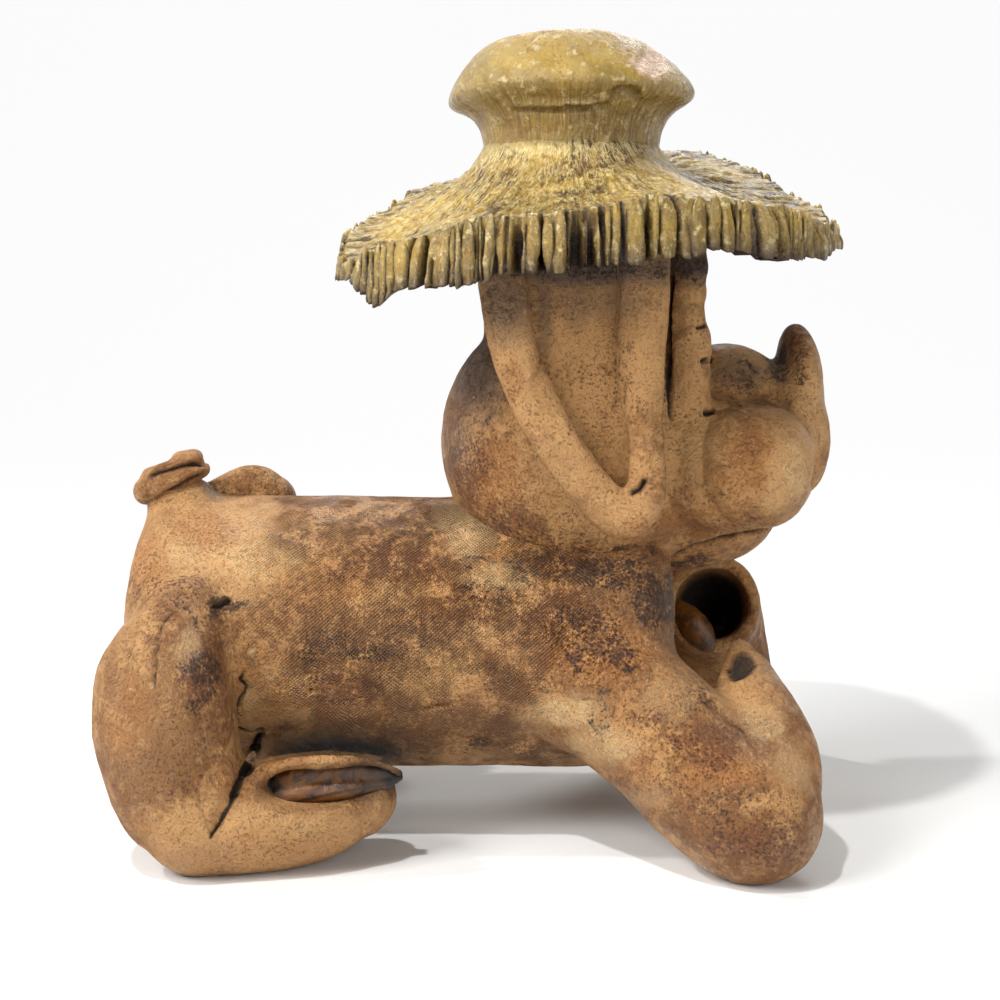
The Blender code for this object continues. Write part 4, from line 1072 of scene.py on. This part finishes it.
# Where the viewer sees the brim: the crease where its top folds over into the fringe, the
# fringe's lower ends, and the far edge.
CREASE_SEEN = [(337, 257), (358, 259), (378, 248), (403, 239), (433, 233), (463, 222), (482, 216),
               (538, 215), (583, 208), (653, 197), (691, 195), (740, 200), (790, 206), (841, 231)]
ENDS_SEEN = [(337, 264), (343, 276), (352, 283), (370, 307), (378, 310), (386, 297), (398, 291),
             (429, 287), (474, 287), (500, 276), (551, 273), (600, 267), (640, 264), (666, 258),
             (698, 258), (713, 250), (745, 253), (793, 261), (828, 259), (841, 240)]
FAR_SEEN = [(337, 257), (341, 250), (353, 232), (369, 218), (395, 205), (412, 191), (451, 180),
            (482, 168), (560, 154), (660, 151), (702, 152), (723, 158), (751, 168), (787, 191),
            (830, 216), (841, 231)]


def seen_height(x, y, outline):
    """How high a point at x, y has to be for the viewer to see it on an outline."""
    height = np.full(len(x), 0.145)
    turn, lift = math.cos(VIEW_TILT), math.sin(VIEW_TILT)
    across_list, down_list = np.array(outline, float).T
    for _ in range(4):
        depth = (VIEW_DISTANCE + y) * turn - (height - VIEW_HEIGHT) * lift
        across = VIEW_PIXELS / 2 + VIEW_FOCAL * (x + RUMP.x - VIEW_X) / depth
        down = np.interp(across, across_list, down_list)
        slope = (VIEW_PIXELS / 2 - down) / VIEW_FOCAL
        height = VIEW_HEIGHT + (VIEW_DISTANCE + y) * (slope * turn - lift) / (turn + slope * lift)
    return height


def rubbed(heights, reach):
    """Heights round the brim, made even over a few steps to each side."""
    kernel = np.hanning(2 * reach + 1) / np.hanning(2 * reach + 1).sum()
    return np.convolve(np.concatenate((heights[-reach:], heights, heights[:reach])), kernel, "valid")


def turn_between(first, second):
    """The angle between two directions round the hat."""
    return np.abs((first - second + math.pi) % (2 * math.pi) - math.pi)


def score_share(part, t, late):
    """How much of its scoring a strand has at a share t of the way along the top or the wall."""
    if part == "top":
        return np.clip((t - 0.80) / 0.2, 0, 1)
    return min(1.0, max(0.12, (t - late) / 0.15 + 0.5)) if part == "wall" else 0.0


# The strands' edges go round at uneven distances; a few gaps are cut through to the dark.
STRANDS = 138
rng = np.random.default_rng(7)
strand_edges = np.cumsum(rng.uniform(0.35, 2.0, STRANDS))
strand_edges = strand_edges / strand_edges[-1] * 2 * math.pi - math.pi
strand_middle = strand_edges - np.diff(strand_edges, prepend=-math.pi) / 2
strand_bulge = rng.normal(0, 1, STRANDS)
cut_depth = rng.uniform(0.30, 1.35, STRANDS)
cut_start = np.where(rng.random(STRANDS) < 0.4, rng.uniform(0.1, 0.6, STRANDS), 0.0)
# How far each strand darkens towards its lower end.
end_darkening = rng.uniform(0.35, 1.1, STRANDS)
GAPS = [(-1.87, 0.018), (-1.78, 0.014), (-1.655, 0.024), (-1.40, 0.012), (-0.98, 0.014),
        (-0.84, 0.018), (-2.25, 0.014), (-1.60, 0.012), (-0.35, 0.012), (-2.6, 0.012)]

turn = np.linspace(-math.pi, math.pi, BRIM_TURN, endpoint=False)
crease_r, end_r = BRIM_RADIUS * 0.955, BRIM_RADIUS
crease_x = EDGE_X + crease_r * np.cos(turn)
end_x = EDGE_X + end_r * np.cos(turn)
near_half = np.sin(turn) < 0
crease_z = np.where(near_half, seen_height(crease_x, crease_r * np.sin(turn), CREASE_SEEN),
                    seen_height(crease_x, crease_r * np.sin(turn), FAR_SEEN))
end_z = np.where(near_half, seen_height(end_x, end_r * np.sin(turn), ENDS_SEEN),
                 crease_z - 0.0085)
crease_z = rubbed(crease_z, 20)
end_z = np.minimum(rubbed(end_z, 9), crease_z - 0.0050)

off = turn_between(turn[:, None], strand_edges)
score = np.exp(-(off.min(1) * BRIM_RADIUS / 0.00046) ** 2) * cut_depth[off.argmin(1)]
start = cut_start[off.argmin(1)]
owner = turn_between(turn[:, None], strand_middle).argmin(1)
slot = np.zeros(BRIM_TURN)
for at, half in GAPS:
    slot = np.maximum(slot, np.clip(1.5 - turn_between(turn, at) / half, 0, 1))
end_z -= 0.0004 * np.maximum(0, strand_bulge[owner]) - 0.0010 * score

TOP, WALL, UNDER = 30, 16, 14
mesh = bmesh.new()
rings = []
tags = {"score": [], "combed": [], "under": [], "straw": [], "cream_and_sheen": [], "deep_olive": []}
for k, angle in enumerate(turn):
    ring = []
    along_top = [(0.004, HAT_ROOT - 0.002, 0.0), (HAT_NECK - 0.003, HAT_ROOT + 0.0004, 0.0)]
    for j in range(TOP):
        t = j / (TOP - 1)
        r = HAT_NECK - 0.0008 + (crease_r - HAT_NECK + 0.0008) * t
        flare = 0.0032 * max(0.0, 1 - t / 0.22) ** 2
        along_top.append((r, crease_z[k] + (HAT_ROOT - 0.0012 - crease_z[k]) * (1 - t) ** 1.75
                          + flare, t))
    wall = []
    for j in range(1, WALL + 1):
        t = j / WALL
        r = crease_r + (end_r - crease_r) * math.sin(t * math.pi / 2) ** 0.7
        r += 0.0004 * strand_bulge[owner[k]] * math.sin(t * math.pi) ** 0.5
        wall.append((r, crease_z[k] + (end_z[k] - crease_z[k]) * t, t))
    under = []
    for j in range(1, UNDER + 1):
        t = j / UNDER
        r = end_r - 0.0012 - (end_r - 0.0012 - HAT_NECK - 0.003) * t
        top_here = crease_z[k] + (HAT_ROOT - crease_z[k]) * max(0.0, 1 - (r - HAT_NECK)
                                                               / (crease_r - HAT_NECK)) ** 1.75
        deep = min(end_z[k] + 0.0010, top_here - 0.004)
        rise = t ** 1.3 if t > 0.3 else 0.3 ** 1.3 * t / 0.3
        under.append((r, deep + (HAT_SEAT - deep) * rise, t))
    under.append((0.004, HAT_SEAT, 1.0))
    for part, group in (("top", along_top), ("wall", wall), ("under", under)):
        for r, z, t in group:
            line = score_share(part, t, start[k])
            gap = slot[k] * (part == "wall")
            lap = part == "under" and t < 0.2
            cut = 0.0019 * score[k] * line + 0.0060 * gap * min(1, t * 1.6)
            if lap:
                cut = 0.0014 * score[k] + 0.0050 * slot[k]
            r -= cut
            shift = (EDGE_X - HAT_X) * min(1.0, max(0.0, (r - HAT_NECK) / (BRIM_RADIUS - HAT_NECK)))
            ring.append(mesh.verts.new((HAT_X + shift + r * math.cos(angle),
                                        r * math.sin(angle), z)))
            tags["score"].append(max(score[k] * line, gap * min(1, t * 2), slot[k] * lap))
            tags["combed"].append({"top": 1.0, "wall": 0.35, "under": 0.0}[part])
            # Darker downward: the underside is dark throughout, each strand darkens towards its lower
            # end by its own amount, and deep olive grows down the wall.
            tags["under"].append(float(part == "under") * min(1.0, t * 8 + 0.3)
                                 + end_darkening[owner[k]] * (part == "wall") * max(0.0, (t - 0.5) / 0.5) ** 1.5)
            tags["deep_olive"].append({"top": 0.35 * t ** 2, "wall": 0.35 + 0.5 * t, "under": 1.0}[part])
            tags["cream_and_sheen"].append({"top": max(0.55, 1 - 0.6 * t), "wall": 0.15, "under": 0}[part])
            tags["straw"].append(0.5 + 0.2 * strand_bulge[owner[k]] * line)
    rings.append(ring)
for k in range(BRIM_TURN):
    first, second = rings[k], rings[(k + 1) % BRIM_TURN]
    for j in range(len(first) - 1):
        mesh.faces.new((first[j], second[j], second[j + 1], first[j + 1]))
mesh.faces.new([ring[0] for ring in rings])
mesh.faces.new([ring[-1] for ring in rings][::-1])
bmesh.ops.recalc_face_normals(mesh, faces=mesh.faces)
brim = as_object("hat_brim", mesh)
points, normals = read_points(brim)
angle = np.arctan2(points[:, 1], points[:, 0] - HAT_X - 0.003)
out = np.hypot(points[:, 1], points[:, 0] - HAT_X - 0.003)
spokes = np.stack((np.cos(angle) * 0.9, np.sin(angle) * 0.9, out * 5), 1)
comb = grain(spokes, 0.030, 21) + 0.8 * grain(spokes, 0.014, 22) + 0.5 * grain(points, 0.003, 23)
topside = np.array(tags["combed"]) * np.clip((out - HAT_NECK) / 0.012, 0.2, 1)
lumps = grain(points, 0.0042, 24) + 0.7 * grain(points, 0.0021, 25)
at_edge = np.clip((out - BRIM_RADIUS * 0.90) / 0.003, 0, 1)
write_points(brim, points + normals * (0.00050 * comb * topside + 0.00042 * lumps * at_edge)[:, None])
brim.data.transform(Matrix.Translation(RUMP))


def ash_glaze(name):
    """Mustard ash glaze: thin and cream on the ridges, pooled brown and black in the scoring; its
    hollows get painted shade and the brim's top a paler cream that is partly painted sheen.
    """
    material, tree, shader, place = new_finish(name)
    spun = node(tree, "ShaderNodeVectorMath", {"operation": "SUBTRACT"}, i0=place,
                i1=(RUMP.x + HAT_X, 0.0, 0.0)).outputs[0]
    split = node(tree, "ShaderNodeSeparateXYZ", i0=spun)
    flat = node(tree, "ShaderNodeCombineXYZ", i0=split.outputs[0], i1=split.outputs[1]).outputs[0]
    round_it = node(tree, "ShaderNodeVectorMath", {"operation": "NORMALIZE"}, i0=flat).outputs[0]
    out = node(tree, "ShaderNodeVectorMath", {"operation": "LENGTH"}, i0=flat).outputs["Value"]
    along_it = node(tree, "ShaderNodeCombineXYZ",
                    i2=times(tree, minus(tree, out, split.outputs[2]), 5.0)).outputs[0]
    combed = node(tree, "ShaderNodeVectorMath", {"operation": "ADD"}, i0=round_it,
                  i1=along_it).outputs[0]
    streak = noise(tree, combed, 27.0, 6.0, 0.68)
    fine = noise(tree, combed, 90.0, 5.0, 0.66)
    broad = noise(tree, place, 60.0, 6.0, 0.68, 0.5)
    small = noise(tree, place, 420.0, 5.0, 0.72)
    tone = added(tree, times(tree, broad, 0.6), times(tree, small, 0.4))
    colour = blend_colour(tree, ramp(tree, tone, 0.43, 0.55), GLAZE_MUSTARD, GLAZE_OLIVE)
    # Deep olive, stronger down the fringe's wall and full on the underside.
    colour = blend_colour(tree, times(tree, mask(tree, "deep_olive"), ramp(tree, tone, 0.60, 0.46)), colour,
                          GLAZE_DEEP_OLIVE)
    colour = blend_colour(tree, times(tree, ramp(tree, small, 0.54, 0.64), 0.5), colour, GLAZE_CREAM)
    # Paler cream streaks, strongest on the brim's top near the neck: partly the glaze's own streaks,
    # partly painted sheen on the top.
    pale_streaks_and_sheen = times(tree, ramp(tree, fine, 0.47, 0.57), mask(tree, "cream_and_sheen"))
    colour = blend_colour(tree, times(tree, pale_streaks_and_sheen, 0.85), colour, GLAZE_CREAM)
    colour = blend_colour(tree, times(tree, mask(tree, "ridge"), 0.4), colour, GLAZE_CREAM)
    colour = blend_colour(tree, times(tree, ramp(tree, mask(tree, "straw"), 0.6, 1.0), 0.35), colour,
                          GLAZE_CREAM)
    dirt = times(tree, ramp(tree, added(tree, streak, times(tree, small, 0.5)), 0.745, 0.68),
                 times(tree, mask(tree, "combed"), ramp(tree, broad, 0.40, 0.56)))
    colour = blend_colour(tree, times(tree, dirt, 0.85), colour, GLAZE_BLACK)
    bare = ramp(tree, added(tree, mask(tree, "pale"), times(tree, small, 1.6)), 1.15, 1.45)
    colour = blend_colour(tree, bare, colour, BARE_CLAY)
    run = ramp(tree, added(tree, streak, times(tree, broad, 0.7)), 0.87, 0.78)
    colour = blend_colour(tree, times(tree, times(tree, run, 0.5), mask(tree, "pooled")), colour,
                          GLAZE_BROWN)
    colour = blend_colour(tree, times(tree, ramp(tree, small, 0.42, 0.34), 0.6), colour, GLAZE_BROWN)
    speck = noise(tree, place, 900.0, 3.0, 0.65)
    crowd = ramp(tree, noise(tree, place, 90.0, 4.0, 0.6), 0.44, 0.60)
    colour = blend_colour(tree, times(tree, times(tree, ramp(tree, speck, 0.54, 0.63), crowd), 0.75),
                          colour, GLAZE_BROWN)
    # Painted shade: the glaze turns brown where it lies low and in the tool marks.
    colour = blend_colour(tree, times(tree, mask(tree, "crease_shade"), 0.75), colour, GLAZE_BROWN)
    colour = blend_colour(tree, times(tree, mask(tree, "score"), 0.97), colour, GLAZE_BLACK)
    colour = blend_colour(tree, mask(tree, "under"), colour, CLAY_UMBER)
    rough = node(tree, "ShaderNodeMapRange", Value=noise(tree, place, 240.0, 4.0, 0.7),
                 From_Min=0.36, From_Max=0.64, To_Min=0.06, To_Max=0.36).outputs[0]
    rough = upper(tree, rough, times(tree, mask(tree, "under"), 0.5))
    height = times(tree, added(tree, times(tree, fine, 0.5), streak), mask(tree, "combed"))
    height = added(tree, added(tree, height, small), times(tree, broad, 0.8))
    set_finish(tree, shader, colour, rough, height, strength=0.85, distance=0.0010)
    return material


glaze = ash_glaze("mustard_glaze")
below = shade_hollows(brim, 10, 0.0005)
for tag, values in tags.items():
    set_mask(brim, tag, np.array(values))
set_mask(brim, "ridge", -below * (np.array(tags["cream_and_sheen"]) > 0.2))
finish_piece(brim, glaze)


# Loose straws: most strands of the fringe stand proud of the slab's edge as separate ribs of
# clay, raised where the tool was dragged down on both sides of them and fired on with the brim.
def grow_ribs():
    """One rib of clay on each root, sized and turned by the roots' own values."""
    group = bpy.data.node_groups.new("loose_straws", "GeometryNodeTree")
    group.interface.new_socket("Roots", in_out="INPUT", socket_type="NodeSocketGeometry")
    for label, kind in (("Sides", "Int"), ("Unevenness", "Float"), ("Glaze", "Material")):
        group.interface.new_socket(label, in_out="INPUT", socket_type="NodeSocket" + kind)
    group.interface.new_socket("Ribs", in_out="OUTPUT", socket_type="NodeSocketGeometry")
    given = group.nodes.new("NodeGroupInput").outputs
    rib = node(group, "GeometryNodeMeshUVSphere", Segments=given["Sides"], Rings=6, Radius=0.5)
    least, most = (step(group, 1.0, given["Unevenness"]) for step in (minus, added))
    growth = node(group, "FunctionNodeRandomValue", {"data_type": "FLOAT"}, i2=least, i3=most,
                  Seed=11).outputs[1]
    size, turned_by = (node(group, "GeometryNodeInputNamedAttribute",
                            {"data_type": "FLOAT_VECTOR"}, Name=label).outputs[0]
                       for label in ("size", "turn"))
    scale = node(group, "ShaderNodeVectorMath", {"operation": "SCALE"}, i0=size,
                 Scale=growth).outputs[0]
    roots = node(group, "GeometryNodeMeshToPoints", Mesh=given["Roots"]).outputs[0]
    ribs = node(group, "GeometryNodeInstanceOnPoints", Points=roots, Instance=rib.outputs[0],
                Rotation=node(group, "FunctionNodeEulerToRotation", Euler=turned_by).outputs[0],
                Scale=scale).outputs[0]
    real = node(group, "GeometryNodeRealizeInstances", Geometry=ribs).outputs[0]
    glazed = node(group, "GeometryNodeSetMaterial", Geometry=real, Material=given["Glaze"])
    group.links.new(glazed.outputs[0], group.nodes.new("NodeGroupOutput").inputs[0])
    return group


places, sizes, turns = [], [], []
for i in np.flatnonzero(rng.random(STRANDS) < 0.62):
    k = np.abs(turn - strand_middle[i]).argmin()
    wide = (strand_edges[i] - (strand_edges[i - 1] if i else -math.pi)) * BRIM_RADIUS
    high = crease_z[k] - end_z[k]
    if wide < 0.0009 or slot[k] > 0.3:
        continue
    r = crease_r + (end_r - crease_r) * 0.80 - 0.0004 - rng.uniform(0, 0.0004)
    places.append((EDGE_X + r * math.cos(turn[k]), r * math.sin(turn[k]),
                   (crease_z[k] + end_z[k]) / 2 + rng.uniform(0.0001, 0.0008)))
    sizes.append((0.0014, wide * 1.06, high * rng.uniform(0.84, 1.06)))
    turns.append((rng.uniform(-0.07, 0.07), 0.0, turn[k]))
roots = bpy.data.meshes.new("strand_roots")
roots.from_pydata(places, [], [])
for label, values in (("size", sizes), ("turn", turns)):
    roots.attributes.new(label, "FLOAT_VECTOR", "POINT").data.foreach_set(
        "vector", np.array(values, np.float32).ravel())
fringe = bpy.data.objects.new("hat_fringe", roots)
bpy.context.scene.collection.objects.link(fringe)
grown = fringe.modifiers.new("grow", "NODES")
grown.node_group = grow_ribs()
inputs = {item.name: item.identifier for item in grown.node_group.interface.items_tree
          if item.in_out == "INPUT"}
grown[inputs["Sides"]] = 10
grown[inputs["Unevenness"]] = 0.10
grown[inputs["Glaze"]] = glaze
settle(fringe)
work_surface(fringe, dents=0.00030, scuffs=0.00016, seed=61)
points, _ = read_points(fringe)
angle = np.arctan2(points[:, 1], points[:, 0] - EDGE_X)
off = turn_between(angle[:, None], strand_edges).min(1)
k = np.clip(((angle + math.pi) / (2 * math.pi) * BRIM_TURN).astype(int), 0, BRIM_TURN - 1)
down = (crease_z[k] - points[:, 2]) / (crease_z[k] - end_z[k])
set_mask(fringe, "combed", np.full(len(points), 0.35))
set_mask(fringe, "cream_and_sheen", np.full(len(points), 0.10))
set_mask(fringe, "deep_olive", 0.15 + 0.5 * np.clip(down, 0, 1))
set_mask(fringe, "straw", 0.5 + 0.2 * strand_bulge[owner[k]])
set_mask(fringe, "score", 1.25 - off * BRIM_RADIUS / 0.00032)
set_mask(fringe, "under", end_darkening[owner[k]] * np.clip((down - 0.5) / 0.5, 0, 1.2) ** 1.5)
fringe.data.transform(Matrix.Translation(RUMP))
finish_piece(fringe, glaze)


# Crown: a mushroom thrown on the wheel and set on the brim's short neck under the same glaze,
# with a ridge of clay left standing on its front, a hollow beside it and a patch left bare.
CROWN_FOOT = 0.1687
CROWN_PROFILE = [  # radius and height, from the dish's middle over the lip and down the neck
    (0.0, 0.1789), (0.0040, 0.1790), (0.0100, 0.1798), (0.0140, 0.1830), (0.0172, 0.1848),
    (0.0205, 0.1836), (0.0240, 0.1803), (0.0268, 0.1768), (0.0284, 0.1740), (0.0286, 0.1722),
    (0.0274, 0.1706), (0.0250, 0.1690), (0.0228, 0.1668), (0.0214, 0.1640), (0.0208, 0.1605),
    (0.0208, 0.1570), (0.0195, 0.1555), (0.0, 0.1550)]
crown = as_object("hat_crown", turned(CROWN_PROFILE, 480))
points, _ = read_points(crown)
angle = np.arctan2(points[:, 1], points[:, 0] - HAT_X)
share = np.clip((points[:, 2] - CROWN_FOOT) / CROWN_HEIGHT, 0, None)
points[:, 2] -= share * 0.0022 * np.cos(angle) ** 2
lip = np.exp(-((points[:, 2] - 0.1715) / 0.0035) ** 2)
points[:, 2] -= 0.0017 * lip * np.exp(-((np.abs(angle) - math.pi) / 0.45) ** 2)
points[:, 0] += 0.0006 * share * np.sin(3 * angle)
points[:, 2] += 0.0003 * share
write_points(crown, points)
crown.data.transform(Matrix.Translation(RUMP))
work_surface(crown, dents=0.0006, scuffs=0.00014, seed=31)
CROWN_MARKS = [  # a path as seen, its half width in pixels, its depth in metres
    ([(512, 102), (545, 102), (580, 102), (614, 96)], 6, -0.0009),
    ([(510, 110), (545, 110), (580, 110), (612, 105)], 4.5, 0.0013),
    ([(612, 98), (624, 91), (644, 97)], 8, 0.0018),
    ([(640, 52), (655, 62), (662, 74)], 16, 0.0007)]
refine(crown, [path for path, *_ in CROWN_MARKS[:3]], 10)
BARE_PATCH = {"pale": [(652, 60, 16, 18, 0.95)]}
marks = np.zeros(len(crown.data.vertices))
for path, width, depth in CROWN_MARKS:
    marks = np.maximum(marks, carve(crown, path, width, depth, wander=1.5) * (width < 10))
shade_hollows(crown, 14, 0.0006, marks * 0.5)
paint(crown, BARE_PATCH)
points, _ = read_points(crown)
share = np.clip((points[:, 2] - CROWN_FOOT) / CROWN_HEIGHT, 0, None)
set_mask(crown, "combed", 0.20 * (1 - np.clip(share * 4, 0, 1)))
set_mask(crown, "deep_olive", np.full(len(points), 0.35))
set_mask(crown, "cream_and_sheen", 0.25 * (1 - np.clip(share * 3, 0, 1)))
set_mask(crown, "pooled", np.clip(1.1 - share * 3, 0, 1))
finish_piece(crown, glaze)


# Tail: two turns of thin coil, flattened on to the stub with a finger and leaning forward, and
# the thick root of clay that holds them, pressed down behind on the far side.
TAIL_X = 0.0084
TAIL_GROOVES = [  # a path as seen, its half width in pixels, its depth in metres, how dark its painted shade is
    ([(141, 477), (156, 473), (176, 468), (198, 463), (210, 467)], 4.5, 0.0014, 0.8),
    ([(146, 506), (170, 493), (190, 480), (208, 472)], 4.5, 0.0010, 0.8),
    ([(150, 469), (165, 465), (182, 457)], 4.0, 0.0006, 0.4)]
TAIL_PATCHES = {  # laid as the body's are
    "dark": [
        (215, 490, 16, 8, 0.4), (178, 470, 60, 6, 0.3)]}
turns = []
for step in range(23):
    angle = math.radians(100 + step * 32)
    done = step / 22
    ring_radius = 0.0074 - 0.0030 * done
    turns.append((TAIL_X + ring_radius * math.cos(angle), ring_radius * 0.85 * math.sin(angle),
                  0.0808 + 0.0056 * done + (0.26 + 0.16 * done) * ring_radius * math.cos(angle),
                  0.0026 - 0.0006 * math.cos(angle) - 0.0002 * done))
tail = press("tail", [coil(turns), lump((TAIL_X, 0, 0.0815), (0.0125, 0.0110, 0.0060),
                                        math.radians(-15)),
                      lump((TAIL_X + 0.0010, 0, 0.0858), (0.0075, 0.0070, 0.0050),
                           math.radians(-20)),
                      coil([(TAIL_X + 0.006, 0.006, 0.0755, 0.0050),
                            (TAIL_X + 0.0165, 0.010, 0.0778, 0.0070),
                            (TAIL_X + 0.0210, 0.011, 0.0762, 0.0064)])],
             grid=0.0004, rubs=4)
fill_joints(tail, 3)
work_surface(tail, dents=0.00025, scuffs=0.00012, seed=51)
marks = np.zeros(len(tail.data.vertices))
for path, width, depth, darkness in TAIL_GROOVES:
    marks = np.maximum(marks, darkness * carve(tail, path, width, depth, wander=0.6))
shade_hollows(tail, 12, 0.0006, marks)
paint(tail, TAIL_PATCHES)
finish_piece(tail, fired_clay("tail_clay", offset=1.2, brown=0.6, red=0.6, gloss=0.2))


# Floor and light: a pale sweep of paper that runs up behind the figure, with three large soft
# lamps and two small hard ones, whose glints show the gloss of the ash and the glaze.
PAPER = (0.82, 0.82, 0.81, 1.0)
LAMPS = [  # name, place, size in metres, power in watts
    ("window", (-0.80, -0.60, 0.78), 0.55, 12.5), ("fill", (0.75, -1.05, 0.50), 0.8, 6.5),
    ("back", (0.25, 0.9, 1.0), 0.7, 7.0), ("glint", (-0.75, -0.02, 0.80), 0.05, 4.0),
    ("spark", (-0.25, -0.40, 0.95), 0.04, 5.0)]
LAMPS_AIM = (0, 0, 0.08)

sweep = bmesh.new()
rows = []
for k in range(25):
    bend = math.radians(min(90, max(0, (k - 4) * 4.8)))
    if k <= 4:
        y, z = -1.6 + k * 0.65, 0.0
    elif bend < math.radians(90):
        y, z = 1.0 + 0.6 * math.sin(bend), 0.6 * (1 - math.cos(bend))
    else:
        y, z = 1.6, 0.6 + (k - 23) * 1.2
    rows.append([sweep.verts.new((x, y, z)) for x in (-3.0, 3.0)])
for first, second in zip(rows, rows[1:]):
    sweep.faces.new((first[0], first[1], second[1], second[0]))
bmesh.ops.recalc_face_normals(sweep, faces=sweep.faces)
paper = as_object("paper_sweep", sweep)
paper.data.shade_smooth()
paper_white, tree, matt, spot = new_finish("paper_white")
matt.inputs["Base Color"].default_value = PAPER
matt.inputs["Roughness"].default_value = 0.95
matt.inputs["Specular IOR Level"].default_value = 0.1
rays = node(tree, "ShaderNodeLightPath")
seen = upper(tree, rays.outputs["Is Camera Ray"], rays.outputs["Is Glossy Ray"])
seen = upper(tree, seen, rays.outputs["Is Transmission Ray"])
far_off = node(tree, "ShaderNodeVectorMath", {"operation": "LENGTH"}, i0=spot).outputs["Value"]
white = node(tree, "ShaderNodeEmission", Color=(1.0, 1.0, 1.0, 1.0), Strength=1.0)
share = times(tree, seen, times(tree, ramp(tree, far_off, 0.10, 0.55), 0.92))
mixed = node(tree, "ShaderNodeMixShader", i0=share, i1=matt.outputs[0], i2=white.outputs[0])
tree.links.new(mixed.outputs[0], tree.nodes["Material Output"].inputs["Surface"])
paper.data.materials.append(paper_white)
paper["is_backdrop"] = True

for name, spot, size, power in LAMPS:
    lamp = bpy.data.lights.new(name, "AREA")
    lamp.size = size
    lamp.energy = power
    holder = bpy.data.objects.new(name, lamp)
    holder.location = spot
    aim = Vector(LAMPS_AIM) - Vector(spot)
    holder.rotation_euler = aim.to_track_quat("-Z", "Y").to_euler()
    bpy.context.scene.collection.objects.link(holder)

world = bpy.data.worlds.new("studio")
world.use_nodes = True
bpy.context.scene.world = world
sky = world.node_tree
light = sky.nodes["Background"]
light.inputs["Color"].default_value = (1.0, 0.99, 0.97, 1.0)
rays = sky.nodes.new("ShaderNodeLightPath")
white = times(sky, rays.outputs["Is Camera Ray"], 0.78)
sky.links.new(added(sky, white, 0.22), light.inputs["Strength"])
